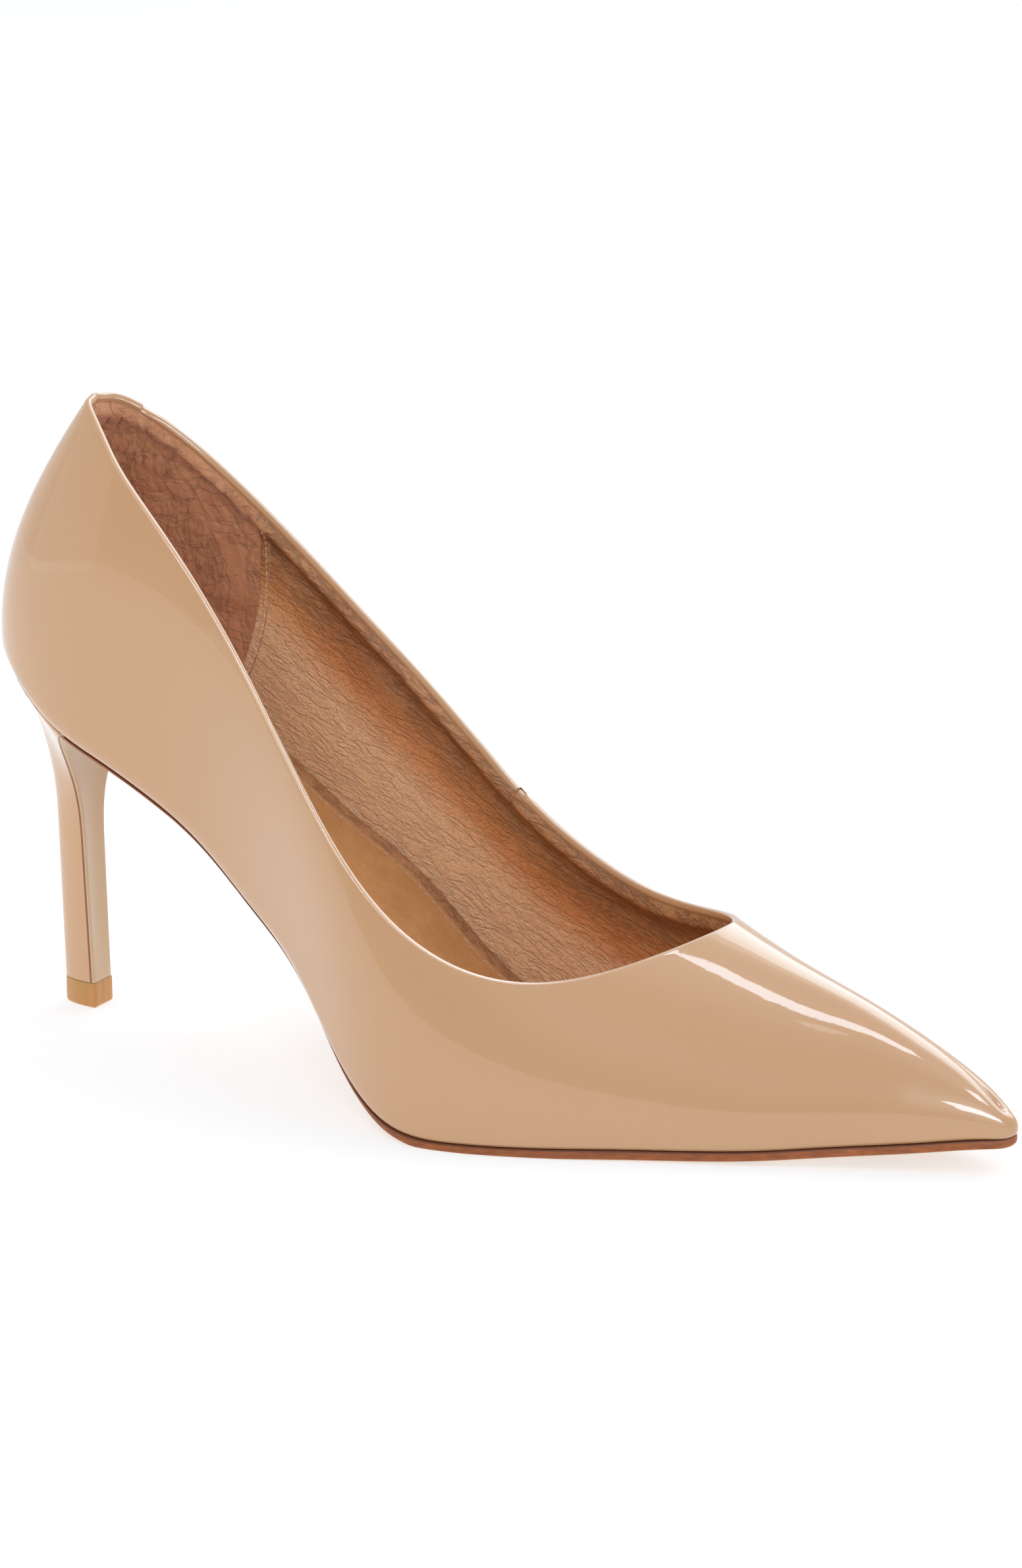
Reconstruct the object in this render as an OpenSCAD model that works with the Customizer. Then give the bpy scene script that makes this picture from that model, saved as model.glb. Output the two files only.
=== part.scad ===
// High heel pump, right foot, millimetres.
// +X points to the toe, +Y to the inner (medial) side, +Z up.
// The origin lies on the floor, under the middle of the shoe's length.

/* [Last] */
// Length of the shoe along the floor
shoe_length = 246; // [236:1:256]
// Width factor of the last
width_fit = 1; // [0.96:0.01:1.04]
// Height factor of the side walls and the vamp
wall_fit = 1; // [0.96:0.01:1.04]
// Height of the heel seat at the back
seat_height = 83; // [77:1:87]

/* [Upper] */
// Thickness of the patent leather
patent_t = 1.2; // [1:0.1:1.3]
// Thickness of the layer that holds counter, backing and toe puff
stiffener_t = 0.8; // [0.6:0.1:1]
// Thickness of the lining leather
lining_t = 0.8; // [0.6:0.1:1]
// Width of the patent margin that is turned in along the top line
fold_w = 5; // [4:0.5:6]
// Thickness of the reinforcing tape inside the turned margin
tape_t = 0.4; // [0.3:0.1:0.5]
// Width of the lasting margin under the insole
margin_w = 8; // [7:0.5:9]

/* [Bottom] */
// Thickness of the outsole at the tread
outsole_t = 2; // [1.8:0.1:2.4]
// Thickness of the outsole at the waist
outsole_waist_t = 1.4; // [1.2:0.1:1.6]
// Thickness of the insole board
board_t = 1.8; // [1.6:0.1:2.2]
// Thickness of the foam at the heel
foam_heel_t = 2.2; // [1.6:0.1:2.6]
// Thickness of the foam at the ball
foam_ball_t = 1; // [0.8:0.1:1.4]
// Thickness of the sock lining
sock_t = 0.8; // [0.6:0.1:1]
// Thickness of the suede insert on the sock
insert_t = 0.6; // [0.5:0.1:0.8]
// Width of the steel shank
shank_w = 12; // [10:1:13]
// Thickness of the steel shank
shank_t = 1.6; // [1.2:0.1:1.8]

/* [Heel] */
// Distance from the back of the shoe to the heel breast at the seat
breast_setback = 19.7; // [17.7:0.5:20.7]
// How far the corners of the breast reach forward at the seat
breast_reach = 4.5; // [3.5:0.5:4.5]
// Distance from the back of the shoe to the front of the heel tip
tip_setback = 21.4; // [20.4:0.5:23.4]
// Width of the stem above the top lift
stem_w_low = 7; // [6.5:0.5:9]
// Width of the stem at half height
stem_w_mid = 8; // [7.5:0.5:9]
// Length of the stem from breast to back
stem_len = 8.8; // [8.4:0.2:9.6]
// Height of the top lift
lift_h = 6; // [5:0.5:7]
// Thickness of the patent heel cover and of the breast flap
cover_t = 0.8; // [0.6:0.1:1]

/* [Hidden] */

// The last is a row of cross-sections. Each list below holds the control values of a smooth
// spline that runs from the back of the heel to the tip of the toe.
half_outer = [0, 7, 13.5, 18, 19.5, 18.5, 23, 34.5, 49, 44, 33.5, 25, 16.5, 10.5, 6, 3, 0];
half_inner = [0, 7, 16, 23, 27, 27.5, 28, 29.5, 30.5, 30, 29, 23.5, 16, 10.5, 6, 3, 0];
sole_line = [83.5, 82, 81.5, 78, 72.5, 67, 63, 56.5, 49, 37.5, 30, 12.5, 1.5,
  1.8, 1.8, 2.3, 2.5, 3, 4.4, 5.4, 6.4, 7.4, 7.7, 7.8, 9];
section_h = [73, 73, 75, 77.5, 78, 77, 69.5, 55, 39, 28, 17, 8.8, 2.8];
fullness = [-0.9, -0.85, -0.4, 0.15, 0.45, 0.55, 0.3, -0.15, -0.45, -0.55, -0.5, -0.25, 0];
bulge_outer = [3.2, 3.3, 3.2, 2.7, 2.8, 2.3, 1.2];
bulge_inner = [3.2, 2.9, 2.7, 2, 1.9, 2, 1.8];
// The bulge fades where the half width falls under this length.
bulge_reach = 11;
// Heights of the top line above the floor, from the back to just before the throat
top_outer = [142, 141.5, 139.5, 131, 111, 77, 46, 32];
top_inner = [142, 141.5, 141, 132, 109, 81, 53.5, 36.5];
throat_s = 0.654;

base_length = 246;
base_seat = 83;
len_k = shoe_length / base_length;
x_back = -shoe_length / 2;
x_tip = shoe_length / 2;
// The outer half is wider, so the last's own centre line lies beside the middle of the shoe.
mid_y = 7.9 * len_k * width_fit;
// The section planes fan out round the heel and round the nose.
heel_fan_r = 36 * len_k;
heel_fan_len = 105.5 * len_k;
nose_fan_r = 4 * len_k;
nose_fan_len = 50 * len_k;

// Stations along the shoe and rows up the wall
NU = 48;
TH = 32;
NV = 9;
NR = NV + 1;
inner_seam_back = 7;
inner_seam_front = 20;
counter_end = 14;
grip_end = 12;
puff_start = 41;
vamp_lining_start = 20;

function clamp01(t) = min(max(t, 0), 1);
function mix(a, b, t) = a + (b - a) * t;
function unit(v) = v / norm(v);

// Control value i of list c, mirrored past an end that is flat and run out straight otherwise
function control(c, i, flat) =
  let (n = len(c) - 1)
  i < 0 ? (flat[0] ? c[1] : 2 * c[0] - c[1])
  : i > n ? (flat[1] ? c[n - 1] : 2 * c[n] - c[n - 1])
  : c[i];

// Uniform cubic B-spline over s = 0..1
function spline(c, s, flat) =
  let (n = len(c) - 1, t = clamp01(s) * n, i = min(floor(t), n - 1), f = t - i)
  (pow(1 - f, 3) * control(c, i - 1, flat)
    + (3 * pow(f, 3) - 6 * f * f + 4) * control(c, i, flat)
    + (-3 * pow(f, 3) + 3 * f * f + 3 * f + 1) * control(c, i + 1, flat)
    + pow(f, 3) * control(c, i + 2, flat)) / 6;

FLAT = [true, true];
ROUND = [false, false];

function x_of(s) = x_back + shoe_length * (1 - cos(180 * s)) / 2;
function s_of(x) = acos(1 - 2 * clamp01((x - x_back) / shoe_length)) / 180;
function spine_x(x) = x + heel_fan_r * pow(1 - clamp01((x - x_back) / heel_fan_len), 3)
  - nose_fan_r * pow(1 - clamp01((x_tip - x) / nose_fan_len), 3);
function sole_z(x) = spline(sole_line, s_of(x), FLAT) * seat_height / base_seat;
function half_w(k, s) = spline(k == 0 ? half_outer : half_inner, s, ROUND) * len_k * width_fit;
function wall_h(s) = spline(section_h, s, FLAT) * wall_fit;
// Stations crowd together towards the throat, where the top line turns round.
function station_s(i) =
  let (u = i / TH)
  i <= TH ? throat_s * (1.25 * u - 0.25 * pow(u, 4)) : mix(throat_s, 1, (i - TH) / (NU - TH));
function base_sole_z(s) = spline(sole_line, s, FLAT);
function top_wall(k, s) =
  let (ridge = base_sole_z(throat_s) + spline(section_h, throat_s, FLAT),
    c = concat(k == 0 ? top_outer : top_inner, [ridge]))
  (spline(c, s / throat_s, [true, false]) - base_sole_z(s)) * wall_fit;

// One station: spine, foot of the wall, direction, heights and the angle at the top line
function station(k, i) =
  let (s = station_s(i), x = x_of(s), c = spine_x(x), w = half_w(k, s), h = wall_h(s),
    foot = [x, mid_y + (k == 0 ? -1 : 1) * w], r = norm(foot - [c, mid_y]),
    q = i >= TH ? 1 : clamp01(top_wall(k, s) / h))
  [foot, (foot - [c, mid_y]) / r, r, sole_z(x), h, spline(fullness, s, FLAT),
    spline(k == 0 ? bulge_outer : bulge_inner, s, FLAT) * clamp01(r / bulge_reach), asin(q), w,
    s < 0.5 ? 1 : min(1, 0.25 + w / 14)];
STATIONS = [for (k = [0, 1]) [for (i = [0 : NU]) station(k, i)]];

function foot(st) = st[0];
function outward(st) = st[1];
function reach(st) = st[2];
function foot_z(st) = st[3];
function fade(st) = st[9];

// Point of a section at angle tau, on the outer face of the upper
function section_point(st, tau) =
  let (g = cos(tau) * (1 + st[5] * pow(sin(tau), 2)),
    p = foot(st) - outward(st) * (reach(st) * (1 - g) - st[6] * sin(2 * tau)))
  [p[0], p[1], foot_z(st) + st[4] * sin(tau)];

// Share of the wall at row j: the last row is the width of the turned margin
function row_share(st, j) =
  let (wall = norm(section_point(st, st[7]) - section_point(st, 0)),
    turned = min(0.3, fold_w / wall))
  j == NV ? 1 : j / (NV - 1) * (1 - turned);

WALL = [for (k = [0, 1]) [for (i = [0 : NU]) [for (j = [0 : NV])
  let (st = STATIONS[k][i]) section_point(st, st[7] * row_share(st, j))]]];

// Wall point with indices that run on across the back, the nose and the ridge
function wall_point(k, i, j) =
  i < 0 ? WALL[1 - k][-i][j]
  : i > NU ? WALL[1 - k][2 * NU - i][j]
  : j > NV ? (i >= TH ? WALL[1 - k][i][2 * NV - j] : WALL[k][i][NV])
  : WALL[k][i][max(j, 0)];
function wall_normal(k, i, j) =
  let (on_ridge = j == NV && i >= TH, at_tip = i == NU && j == NV, sign = k == 0 ? 1 : -1,
    du = at_tip ? [0, sign, 0]
      : wall_point(k, i + 1, j) - wall_point(k, on_ridge ? max(i - 1, TH) : i - 1, j),
    dv = at_tip ? WALL[k][i - 1][j] - WALL[k][i][j - 1]
      : wall_point(k, i, j + 1) - wall_point(k, i, j - 1))
  unit(sign * cross(du, dv));
NORMALS = [for (k = [0, 1]) [for (i = [0 : NU]) [for (j = [0 : NV]) wall_normal(k, i, j)]]];

// Foot of the wall moved in by m, on the sole line
function rim(k, i, m) =
  let (st = STATIONS[k][i], p = foot(st) - outward(st) * min(m, 0.6 * reach(st)))
  [p[0], p[1], sole_z(p[0])];

// Point at depth d under the outer face. Row 0 is the lasting margin's edge, row 1 the foot.
function layer_point(k, i, r, d) =
  let (st = STATIONS[k][i], t = d * fade(st), out = outward(st))
  r == 0 ? rim(k, i, margin_w) + [0, 0, t]
  : r == 1 ? WALL[k][i][0] + t * [-out[0], -out[1], 1]
  : WALL[k][i][r - 1] - t * NORMALS[k][i][r - 1];

// Both sides share their points at the back, the nose and the ridge of the vamp.
function side_of(k, i, r) = i == 0 || i == NU || (r == NR && i >= TH) ? 0 : k;
function vertex(k, i, r, face) =
  ((side_of(k, i, r) * (NU + 1) + i) * (NR + 1) + r) * 2 + face;

// A cell past the back, nose or ridge is the other side's cell.
function cell_in(region, k, i, c) =
  c < 0 ? false
  : i < 0 ? region(1 - k, 0, c)
  : i >= NU ? region(1 - k, NU - 1, c)
  : c >= NR ? (i >= TH ? region(1 - k, i, NR - 1) : false)
  : region(k, i, c);

function cell_faces(region, k, i, c) =
  let (corners = k == 0 ? [[0, 0], [0, 1], [1, 1], [1, 0]] : [[0, 0], [1, 0], [1, 1], [0, 1]],
    beyond = k == 0 ? [[-1, 0], [0, 1], [1, 0], [0, -1]] : [[0, -1], [1, 0], [0, 1], [-1, 0]],
    outer = [for (q = corners) vertex(k, i + q[0], c + q[1], 0)],
    inner = [for (q = corners) vertex(k, i + q[0], c + q[1], 1)])
  concat([outer, [inner[0], inner[3], inner[2], inner[1]]],
    [for (e = [0 : 3]) if (!cell_in(region, k, i + beyond[e][0], c + beyond[e][1]))
      [outer[(e + 1) % 4], outer[e], inner[e], inner[(e + 1) % 4]]]);

// Sheet of the upper between depths d0 and d1, over the cells that region() accepts
module layer(d0, d1, region) {
  points = [for (k = [0, 1], i = [0 : NU], r = [0 : NR], d = [d0, d1]) layer_point(k, i, r, d)];
  faces = [for (k = [0, 1], i = [0 : NU - 1], c = [0 : NR - 1]) if (region(k, i, c))
    each cell_faces(region, k, i, c)];
  polyhedron(points, faces);
}

lining_d = patent_t + stiffener_t;
inside_d = lining_d + lining_t;
in_inner_quarter = function (k, i) k == 1 && i >= inner_seam_back && i < inner_seam_front;
// The turned margin runs round the throat, two stations past it.
is_turned = function (i, c) c == NR - 1 && i < TH + 2;

// Plate that follows the sole line: stations i0..i1, moved in by m(i), between lo(x) and hi(x)
module plate(i0, i1, m, lo, hi) {
  n = i1 - i0 + 1;
  edge = [for (i = [i0 : i1]) for (k = [0, 1]) rim(k, i, m(i))];
  points = concat([for (p = edge) [p[0], p[1], lo(p[0])]], [for (p = edge) [p[0], p[1], hi(p[0])]]);
  loft(points, n);
}

// Closed body through n four-point frames: points run low side 0, low side 1 per frame, then high
module loft(points, n) {
  top = 2 * n;
  faces = concat(
    [for (a = [0 : n - 2]) let (b = 2 * a) each [
      [b, b + 2, b + 3, b + 1],
      [top + b, top + b + 1, top + b + 3, top + b + 2],
      [b, top + b, top + b + 2, b + 2],
      [b + 1, b + 3, top + b + 3, top + b + 1]]],
    [[0, 1, top + 1, top], [2 * n - 2, top + 2 * n - 2, top + 2 * n - 1, 2 * n - 1]]);
  polyhedron(points, faces);
}

function board_z(x) = sole_z(x) + inside_d * min(1, 0.25 + half_w(0, s_of(x)) / 14);
function board_top(x) = sole_z(x) + inside_d + board_t;
function foam_top(x) = board_top(x) + mix(foam_heel_t, foam_ball_t, clamp01((x - x_back) / 110));
function sock_top(x) = foam_top(x) + sock_t;
inside_gap = 0.5;
insole_end = 43;

// Heel: the ring runs from the outer breast corner round the back to the inner one.
breast_x = x_back + breast_setback;
tip_x = x_back + tip_setback;
HEEL_SIDE = 10;
HEEL_RINGS = 12;
// Share of the ring from the back (0) to a breast corner (1)
function ring_share(a) = abs(a - HEEL_SIDE) / HEEL_SIDE;
function heel_rim(a, d) =
  let (k = a < HEEL_SIDE ? 0 : 1, t = ring_share(a), s = s_of(breast_x + breast_reach) * t,
    x = x_of(s), c = spine_x(x), f = [x, mid_y + (k == 0 ? -1 : 1) * half_w(k, s)], o = unit(f - [c, mid_y]),
    p = f - o * (d + 0.4))
  [min(p[0], breast_x + breast_reach), p[1]];
function stem_ring(a, h, d) =
  let (phi = 90 * (a / HEEL_SIDE - 1), front = mix(breast_x, tip_x, clamp01((h - 0.2) / 0.8)),
    w = mix(stem_w_mid, stem_w_low, clamp01((h - 0.4) / 0.6)))
  [front - (stem_len - d) * cos(phi), mid_y + (w / 2 - d) * sin(phi)];
// Point of the heel at share h of its height from the seat down, d under its outer face
function heel_point(a, h, d) =
  let (flare = pow(max(0, 1 - h / 0.5), 2), rim_p = heel_rim(a, d), stem_p = stem_ring(a, h, d),
    corner = pow(ring_share(a), 3),
    x = mix(stem_p[0], rim_p[0], pow(flare, 1.4 + 3 * corner)),
    y = mix(stem_p[1], rim_p[1], pow(flare, 1 + 0.8 * corner)))
  [x, y, mix(sole_z(rim_p[0]), lift_h, h)];
function heel_share(r) = pow(r / HEEL_RINGS, 1.3);

screw_x = breast_x - 3.4;
nail_places = [[breast_x - 8.5, mid_y], [breast_x - 4, mid_y - 6.5], [breast_x - 4, mid_y + 6.5]];
rivet_places = [x_back + 62, x_back + 92];
screw_d = 3.6;
screw_head_d = 7;
screw_len = 30;
nail_d = 1.6;
nail_len = 12;
rivet_d = 3;
core_d = 4;
core_bore = 2.4;
core_lean = 3.4;
core_bottom = 9;
core_len = 36;
stem_axis_x = tip_x - stem_len / 2;

module core_axis(z0) {
  translate([stem_axis_x, mid_y, z0]) rotate([0, -core_lean, 0]) children();
}
module screw_shape() {
  z = board_top(screw_x);
  translate([screw_x, mid_y, z - screw_len]) cylinder(h = screw_len - 1.2, d = screw_d, $fn = 32);
  translate([screw_x, mid_y, z - 1.2]) cylinder(h = 1.2, d = screw_head_d, $fn = 32);
}
module nail_shapes() {
  for (p = nail_places) {
    translate([p[0], p[1], board_top(p[0]) - nail_len]) cylinder(h = nail_len, d = nail_d, $fn = 16);
  }
}
module rivet_shapes() {
  for (x = rivet_places) {
    z = board_top(x);
    translate([x, mid_y, z - board_t - shank_t]) cylinder(h = board_t + shank_t, d = rivet_d, $fn = 24);
  }
}

module vamp_and_outer_quarter() {
  color("tan") layer(0, patent_t, function (k, i, c) !in_inner_quarter(k, i));
}

module inner_quarter() {
  color("tan") layer(0, patent_t, function (k, i, c) in_inner_quarter(k, i));
}

module topline_tape() {
  color("white") layer(patent_t, patent_t + tape_t, function (k, i, c) is_turned(i, c));
}

module topline_fold_outer() {
  color("burlywood") layer(patent_t + tape_t, inside_d,
    function (k, i, c) is_turned(i, c) && !in_inner_quarter(k, i));
}

module topline_fold_inner() {
  color("burlywood") layer(patent_t + tape_t, inside_d,
    function (k, i, c) is_turned(i, c) && in_inner_quarter(k, i));
}

module heel_counter() {
  color("saddlebrown") layer(patent_t, lining_d,
    function (k, i, c) i < counter_end && !is_turned(i, c));
}

module upper_backing() {
  color("linen") layer(patent_t, lining_d,
    function (k, i, c) i >= counter_end && i < puff_start && !is_turned(i, c));
}

module toe_puff() {
  color("wheat") layer(patent_t, lining_d, function (k, i, c) i >= puff_start);
}

module vamp_lining() {
  color("peru") layer(lining_d, inside_d,
    function (k, i, c) i >= vamp_lining_start && !is_turned(i, c));
}

module outer_quarter_lining() {
  color("peru") layer(lining_d, inside_d,
    function (k, i, c) k == 0 && i >= grip_end && i < vamp_lining_start && !is_turned(i, c));
}

module inner_quarter_lining() {
  color("peru") layer(lining_d, inside_d,
    function (k, i, c) k == 1 && i >= grip_end && i < vamp_lining_start && !is_turned(i, c));
}

module heel_grip_lining() {
  color("rosybrown") layer(lining_d, inside_d,
    function (k, i, c) i < grip_end && !is_turned(i, c));
}

// Stitches up both front edges of the heel grip, standing on the lining
module heel_grip_stitching() {
  stitch_len = 1.6;
  gap = 0.9;
  color("antiquewhite") for (k = [0, 1], j = [3 : NV - 2]) {
    p = layer_point(k, grip_end, j, inside_d);
    q = layer_point(k, grip_end, j + 1, inside_d);
    out = NORMALS[k][grip_end][j];
    count = floor(norm(q - p) / (stitch_len + gap));
    lean = acos((q[2] - p[2]) / norm(q - p));
    turn = atan2(q[1] - p[1], q[0] - p[0]);
    for (n = [0 : count - 1]) {
      translate(mix(p, q, (n + 0.5) / count) - out * 0.2) rotate([0, lean, turn])
        cube([0.3, 0.3, stitch_len], center = true);
    }
  }
}

module insole_board() {
  color("sienna") difference() {
    plate(1, insole_end, function (i) inside_d + inside_gap, function (x) board_z(x),
      function (x) board_top(x));
    screw_shape();
    nail_shapes();
    rivet_shapes();
  }
}

// Steel strip riveted under the insole, from the heel seat to just behind the ball
module shank() {
  x0 = breast_x - 6;
  x1 = -14;
  n = 14;
  frames = [for (a = [0 : n - 1]) mix(x0, x1, a / (n - 1))];
  points = concat(
    [for (x = frames, side = [-1, 1]) [x, mid_y + side * shank_w / 2, sole_z(x) + inside_d - shank_t]],
    [for (x = frames, side = [-1, 1]) [x, mid_y + side * shank_w / 2, sole_z(x) + inside_d - 0.05]]);
  color("lightsteelblue") difference() {
    loft(points, n);
    screw_shape();
    rivet_shapes();
  }
}

module shank_rivets() {
  color("silver") rivet_shapes();
}

// Cork sheet that fills the hollow inside the lasting margins under the ball
module ball_filler() {
  color("sandybrown") plate(26, 41, function (i) margin_w + 0.4, function (x) sole_z(x) + 0.05,
    function (x) sole_z(x) + inside_d - 0.05);
}

module cushion_foam() {
  color("khaki") plate(1, insole_end, function (i) inside_d + inside_gap,
    function (x) board_top(x), function (x) foam_top(x));
}

module sock_lining() {
  color("darksalmon") plate(1, insole_end, function (i) inside_d + inside_gap,
    function (x) foam_top(x), function (x) sock_top(x));
}

insert_start = 14;
function insert_inset(i) = inside_d + 5 + 10 * pow(max(0, 1 - (i - insert_start) / 3), 2);
module forepart_insert() {
  color("chocolate") plate(insert_start, 40, function (i) insert_inset(i),
    function (x) sock_top(x), function (x) sock_top(x) + insert_t);
}

// Stitches along both long edges of the insert
module insert_stitching() {
  stitch_len = 2;
  color("antiquewhite") for (k = [0, 1], i = [insert_start + 2 : 24]) {
    p = rim(k, i, insert_inset(i) + 2);
    q = rim(k, i + 1, insert_inset(i + 1) + 2);
    lean = atan2(sock_top(p[0]) - sock_top(q[0]), norm([q[0] - p[0], q[1] - p[1]]));
    turn = atan2(q[1] - p[1], q[0] - p[0]);
    for (t = [0.2, 0.7]) {
      m = mix(p, q, t);
      z = mix(sock_top(p[0]), sock_top(q[0]), t) + insert_t;
      translate([m[0], m[1], z + 0.12]) rotate([0, lean, turn])
        cube([stitch_len, 0.3, 0.3], center = true);
    }
  }
}

// Inset of the outsole at the waist, and how far it stands out in the forepart
sole_edge = 0.3;
outsole_start = 8;
function waist_share(x) = 1 - clamp01((x + 25) / 33);
function tread_z(x) = max(0, sole_z(x) - mix(outsole_t, outsole_waist_t, waist_share(x)));
module outsole() {
  color("peru") plate(outsole_start, NU - 1, function (i) 2.3 * waist_share(rim(0, i, 0)[0]) - sole_edge,
    function (x) tread_z(x), function (x) sole_z(x));
}

// Body through rings of heel points between depth d_out and, where given, depth d_in
module heel_block() {
  n = 2 * HEEL_SIDE + 1;
  points = [for (r = [0 : HEEL_RINGS], a = [0 : n - 1]) heel_point(a, heel_share(r), cover_t)];
  walls = [for (r = [0 : HEEL_RINGS - 1], a = [0 : n - 1]) let (b = (a + 1) % n)
    [r * n + a, r * n + b, (r + 1) * n + b, (r + 1) * n + a]];
  lid = [for (a = [0 : HEEL_SIDE - 1]) let (b = n - 1 - a)
    each a == HEEL_SIDE - 1 ? [[a, b, a + 1]] : [[a, b, b - 1, a + 1]]];
  floor_at = HEEL_RINGS * n;
  tip = [for (a = [0 : HEEL_SIDE - 1]) let (b = n - 1 - a)
    each a == HEEL_SIDE - 1 ? [[floor_at + a, floor_at + a + 1, floor_at + b]]
      : [[floor_at + a, floor_at + a + 1, floor_at + b - 1, floor_at + b]]];
  color("beige") difference() {
    polyhedron(points, concat(walls, lid, tip));
    screw_shape();
    nail_shapes();
    core_axis(core_bottom) cylinder(h = core_len, d = core_d, $fn = 32);
    core_axis(0) cylinder(h = core_bottom + 1, d = core_bore, $fn = 32);
  }
}

module heel_core_tube() {
  color("lightsteelblue") core_axis(core_bottom) difference() {
    cylinder(h = core_len, d = core_d, $fn = 32);
    translate([0, 0, -1]) cylinder(h = core_len + 2, d = core_bore, $fn = 32);
  }
}

// Patent leather wrapped round the sides and the back of the heel
module heel_cover() {
  n = 2 * HEEL_SIDE + 1;
  m = n * (HEEL_RINGS + 1);
  points = concat(
    [for (r = [0 : HEEL_RINGS], a = [0 : n - 1]) heel_point(a, heel_share(r), 0)],
    [for (r = [0 : HEEL_RINGS], a = [0 : n - 1]) heel_point(a, heel_share(r), cover_t)]);
  skin = [for (r = [0 : HEEL_RINGS - 1], a = [0 : n - 2]) let (p = r * n + a, q = p + n) each [
    [p, p + 1, q + 1, q],
    [m + p, m + q, m + q + 1, m + p + 1]]];
  edge_top = [for (a = [0 : n - 2]) [a + 1, a, m + a, m + a + 1]];
  edge_low = [for (a = [0 : n - 2]) let (p = HEEL_RINGS * n + a) [p, p + 1, m + p + 1, m + p]];
  edge_ends = [for (r = [0 : HEEL_RINGS - 1]) let (p = r * n, q = r * n + n - 1) each [
    [p, p + n, m + p + n, m + p],
    [q + n, q, m + q, m + q + n]]];
  color("tan") polyhedron(points, concat(skin, edge_top, edge_low, edge_ends));
}

// The outsole's tongue, glued down the front of the heel
module heel_breast_flap() {
  last = 2 * HEEL_SIDE;
  ends = [for (r = [0 : HEEL_RINGS]) [heel_point(0, heel_share(r), 0),
    heel_point(last, heel_share(r), 0)]];
  under_sole = [0, 0, -outsole_waist_t];
  points = concat(
    [for (r = [0 : HEEL_RINGS], e = [0, 1]) ends[r][e] + (r == 0 ? under_sole : [0, 0, 0])],
    [for (r = [0 : HEEL_RINGS], e = [0, 1]) ends[r][e] + [cover_t, 0, 0]
      + (r == 0 ? under_sole : [0, 0, 0])]);
  color("tan") loft(points, HEEL_RINGS + 1);
}

module top_lift() {
  n = 2 * HEEL_SIDE;
  outline = concat([for (a = [0 : n]) stem_ring(a, 1, 0)],
    [for (side = [1, -1]) [tip_x + cover_t, mid_y + side * stem_w_low / 2]]);
  color("goldenrod") difference() {
    linear_extrude(height = lift_h) polygon(outline);
    core_axis(2) cylinder(h = lift_h, d = core_bore, $fn = 32);
  }
}

module top_lift_pin() {
  color("silver") core_axis(2) cylinder(h = 16, d = core_bore, $fn = 32);
}

module heel_screw() {
  color("silver") screw_shape();
}

module heel_nails() {
  color("silver") nail_shapes();
}

vamp_and_outer_quarter();
inner_quarter();
topline_fold_outer();
topline_fold_inner();
topline_tape();
heel_counter();
upper_backing();
toe_puff();
vamp_lining();
outer_quarter_lining();
inner_quarter_lining();
heel_grip_lining();
heel_grip_stitching();
insole_board();
shank();
shank_rivets();
ball_filler();
cushion_foam();
sock_lining();
forepart_insert();
insert_stitching();
outsole();
heel_block();
heel_core_tube();
heel_cover();
heel_breast_flap();
top_lift();
top_lift_pin();
heel_screw();
heel_nails();
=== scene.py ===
import math

import bmesh
import bpy
import numpy as np
from mathutils import Matrix, Vector, noise


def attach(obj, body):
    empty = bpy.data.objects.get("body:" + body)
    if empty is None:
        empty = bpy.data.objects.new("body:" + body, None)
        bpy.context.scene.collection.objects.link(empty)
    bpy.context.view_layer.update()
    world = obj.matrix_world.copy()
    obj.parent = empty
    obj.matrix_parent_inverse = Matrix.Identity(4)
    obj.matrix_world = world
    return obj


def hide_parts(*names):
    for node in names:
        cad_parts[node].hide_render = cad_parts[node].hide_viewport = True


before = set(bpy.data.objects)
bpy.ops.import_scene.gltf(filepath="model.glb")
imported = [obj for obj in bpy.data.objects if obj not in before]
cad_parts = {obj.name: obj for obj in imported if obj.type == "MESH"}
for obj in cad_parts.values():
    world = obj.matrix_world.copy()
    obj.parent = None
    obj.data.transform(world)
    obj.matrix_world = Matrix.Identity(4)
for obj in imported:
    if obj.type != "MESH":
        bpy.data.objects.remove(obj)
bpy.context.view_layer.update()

MM = 0.001

# ------------------------------ the shoemaker's last
# Control values of the cross-sections, in millimetres. Each list runs from the heel's back to the toe's tip,
# TOP and TOP_LEAN to the throat. Of two lists, the first is for the outer side, the second for the inner.
LENGTH, MID_Y, THROAT = 246.0, 7.9, 0.654
X_BACK, X_TIP = -LENGTH / 2, LENGTH / 2
# HALF: width from the middle line. SOLE: height of the sole line. HEIGHT: ridge above the sole line.
# FULL and BULGE: how far the wall swells out. TOP: height of the top line. TOP_LEAN: how much further down
# a line below it runs. THROAT: the throat's station, from 0 to 1. RIDGE_RATE: millimetres of d per station.
HALF = ([0, 7, 13.5, 18, 19.5, 18.5, 23, 34.5, 49, 44, 33.5, 25, 16.5, 10.5, 6, 3, 0],
        [0, 7, 16, 23, 27, 27.5, 28, 29.5, 30.5, 30, 29, 23.5, 16, 10.5, 6, 3, 0])
SOLE = [83.5, 82, 81.5, 78, 72.5, 67, 63, 56.5, 49, 37.5, 30, 12.5, 1.5,
        1.8, 1.8, 2.3, 2.5, 3, 4.4, 5.4, 6.4, 7.4, 7.7, 7.8, 9]
HEIGHT = [73, 73, 75, 77.5, 78, 77, 69.5, 55, 39, 28, 17, 8.8, 2.8]
FULL = [-0.9, -0.85, -0.4, 0.15, 0.45, 0.55, 0.3, -0.15, -0.45, -0.55, -0.5, -0.25, 0.0]
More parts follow.
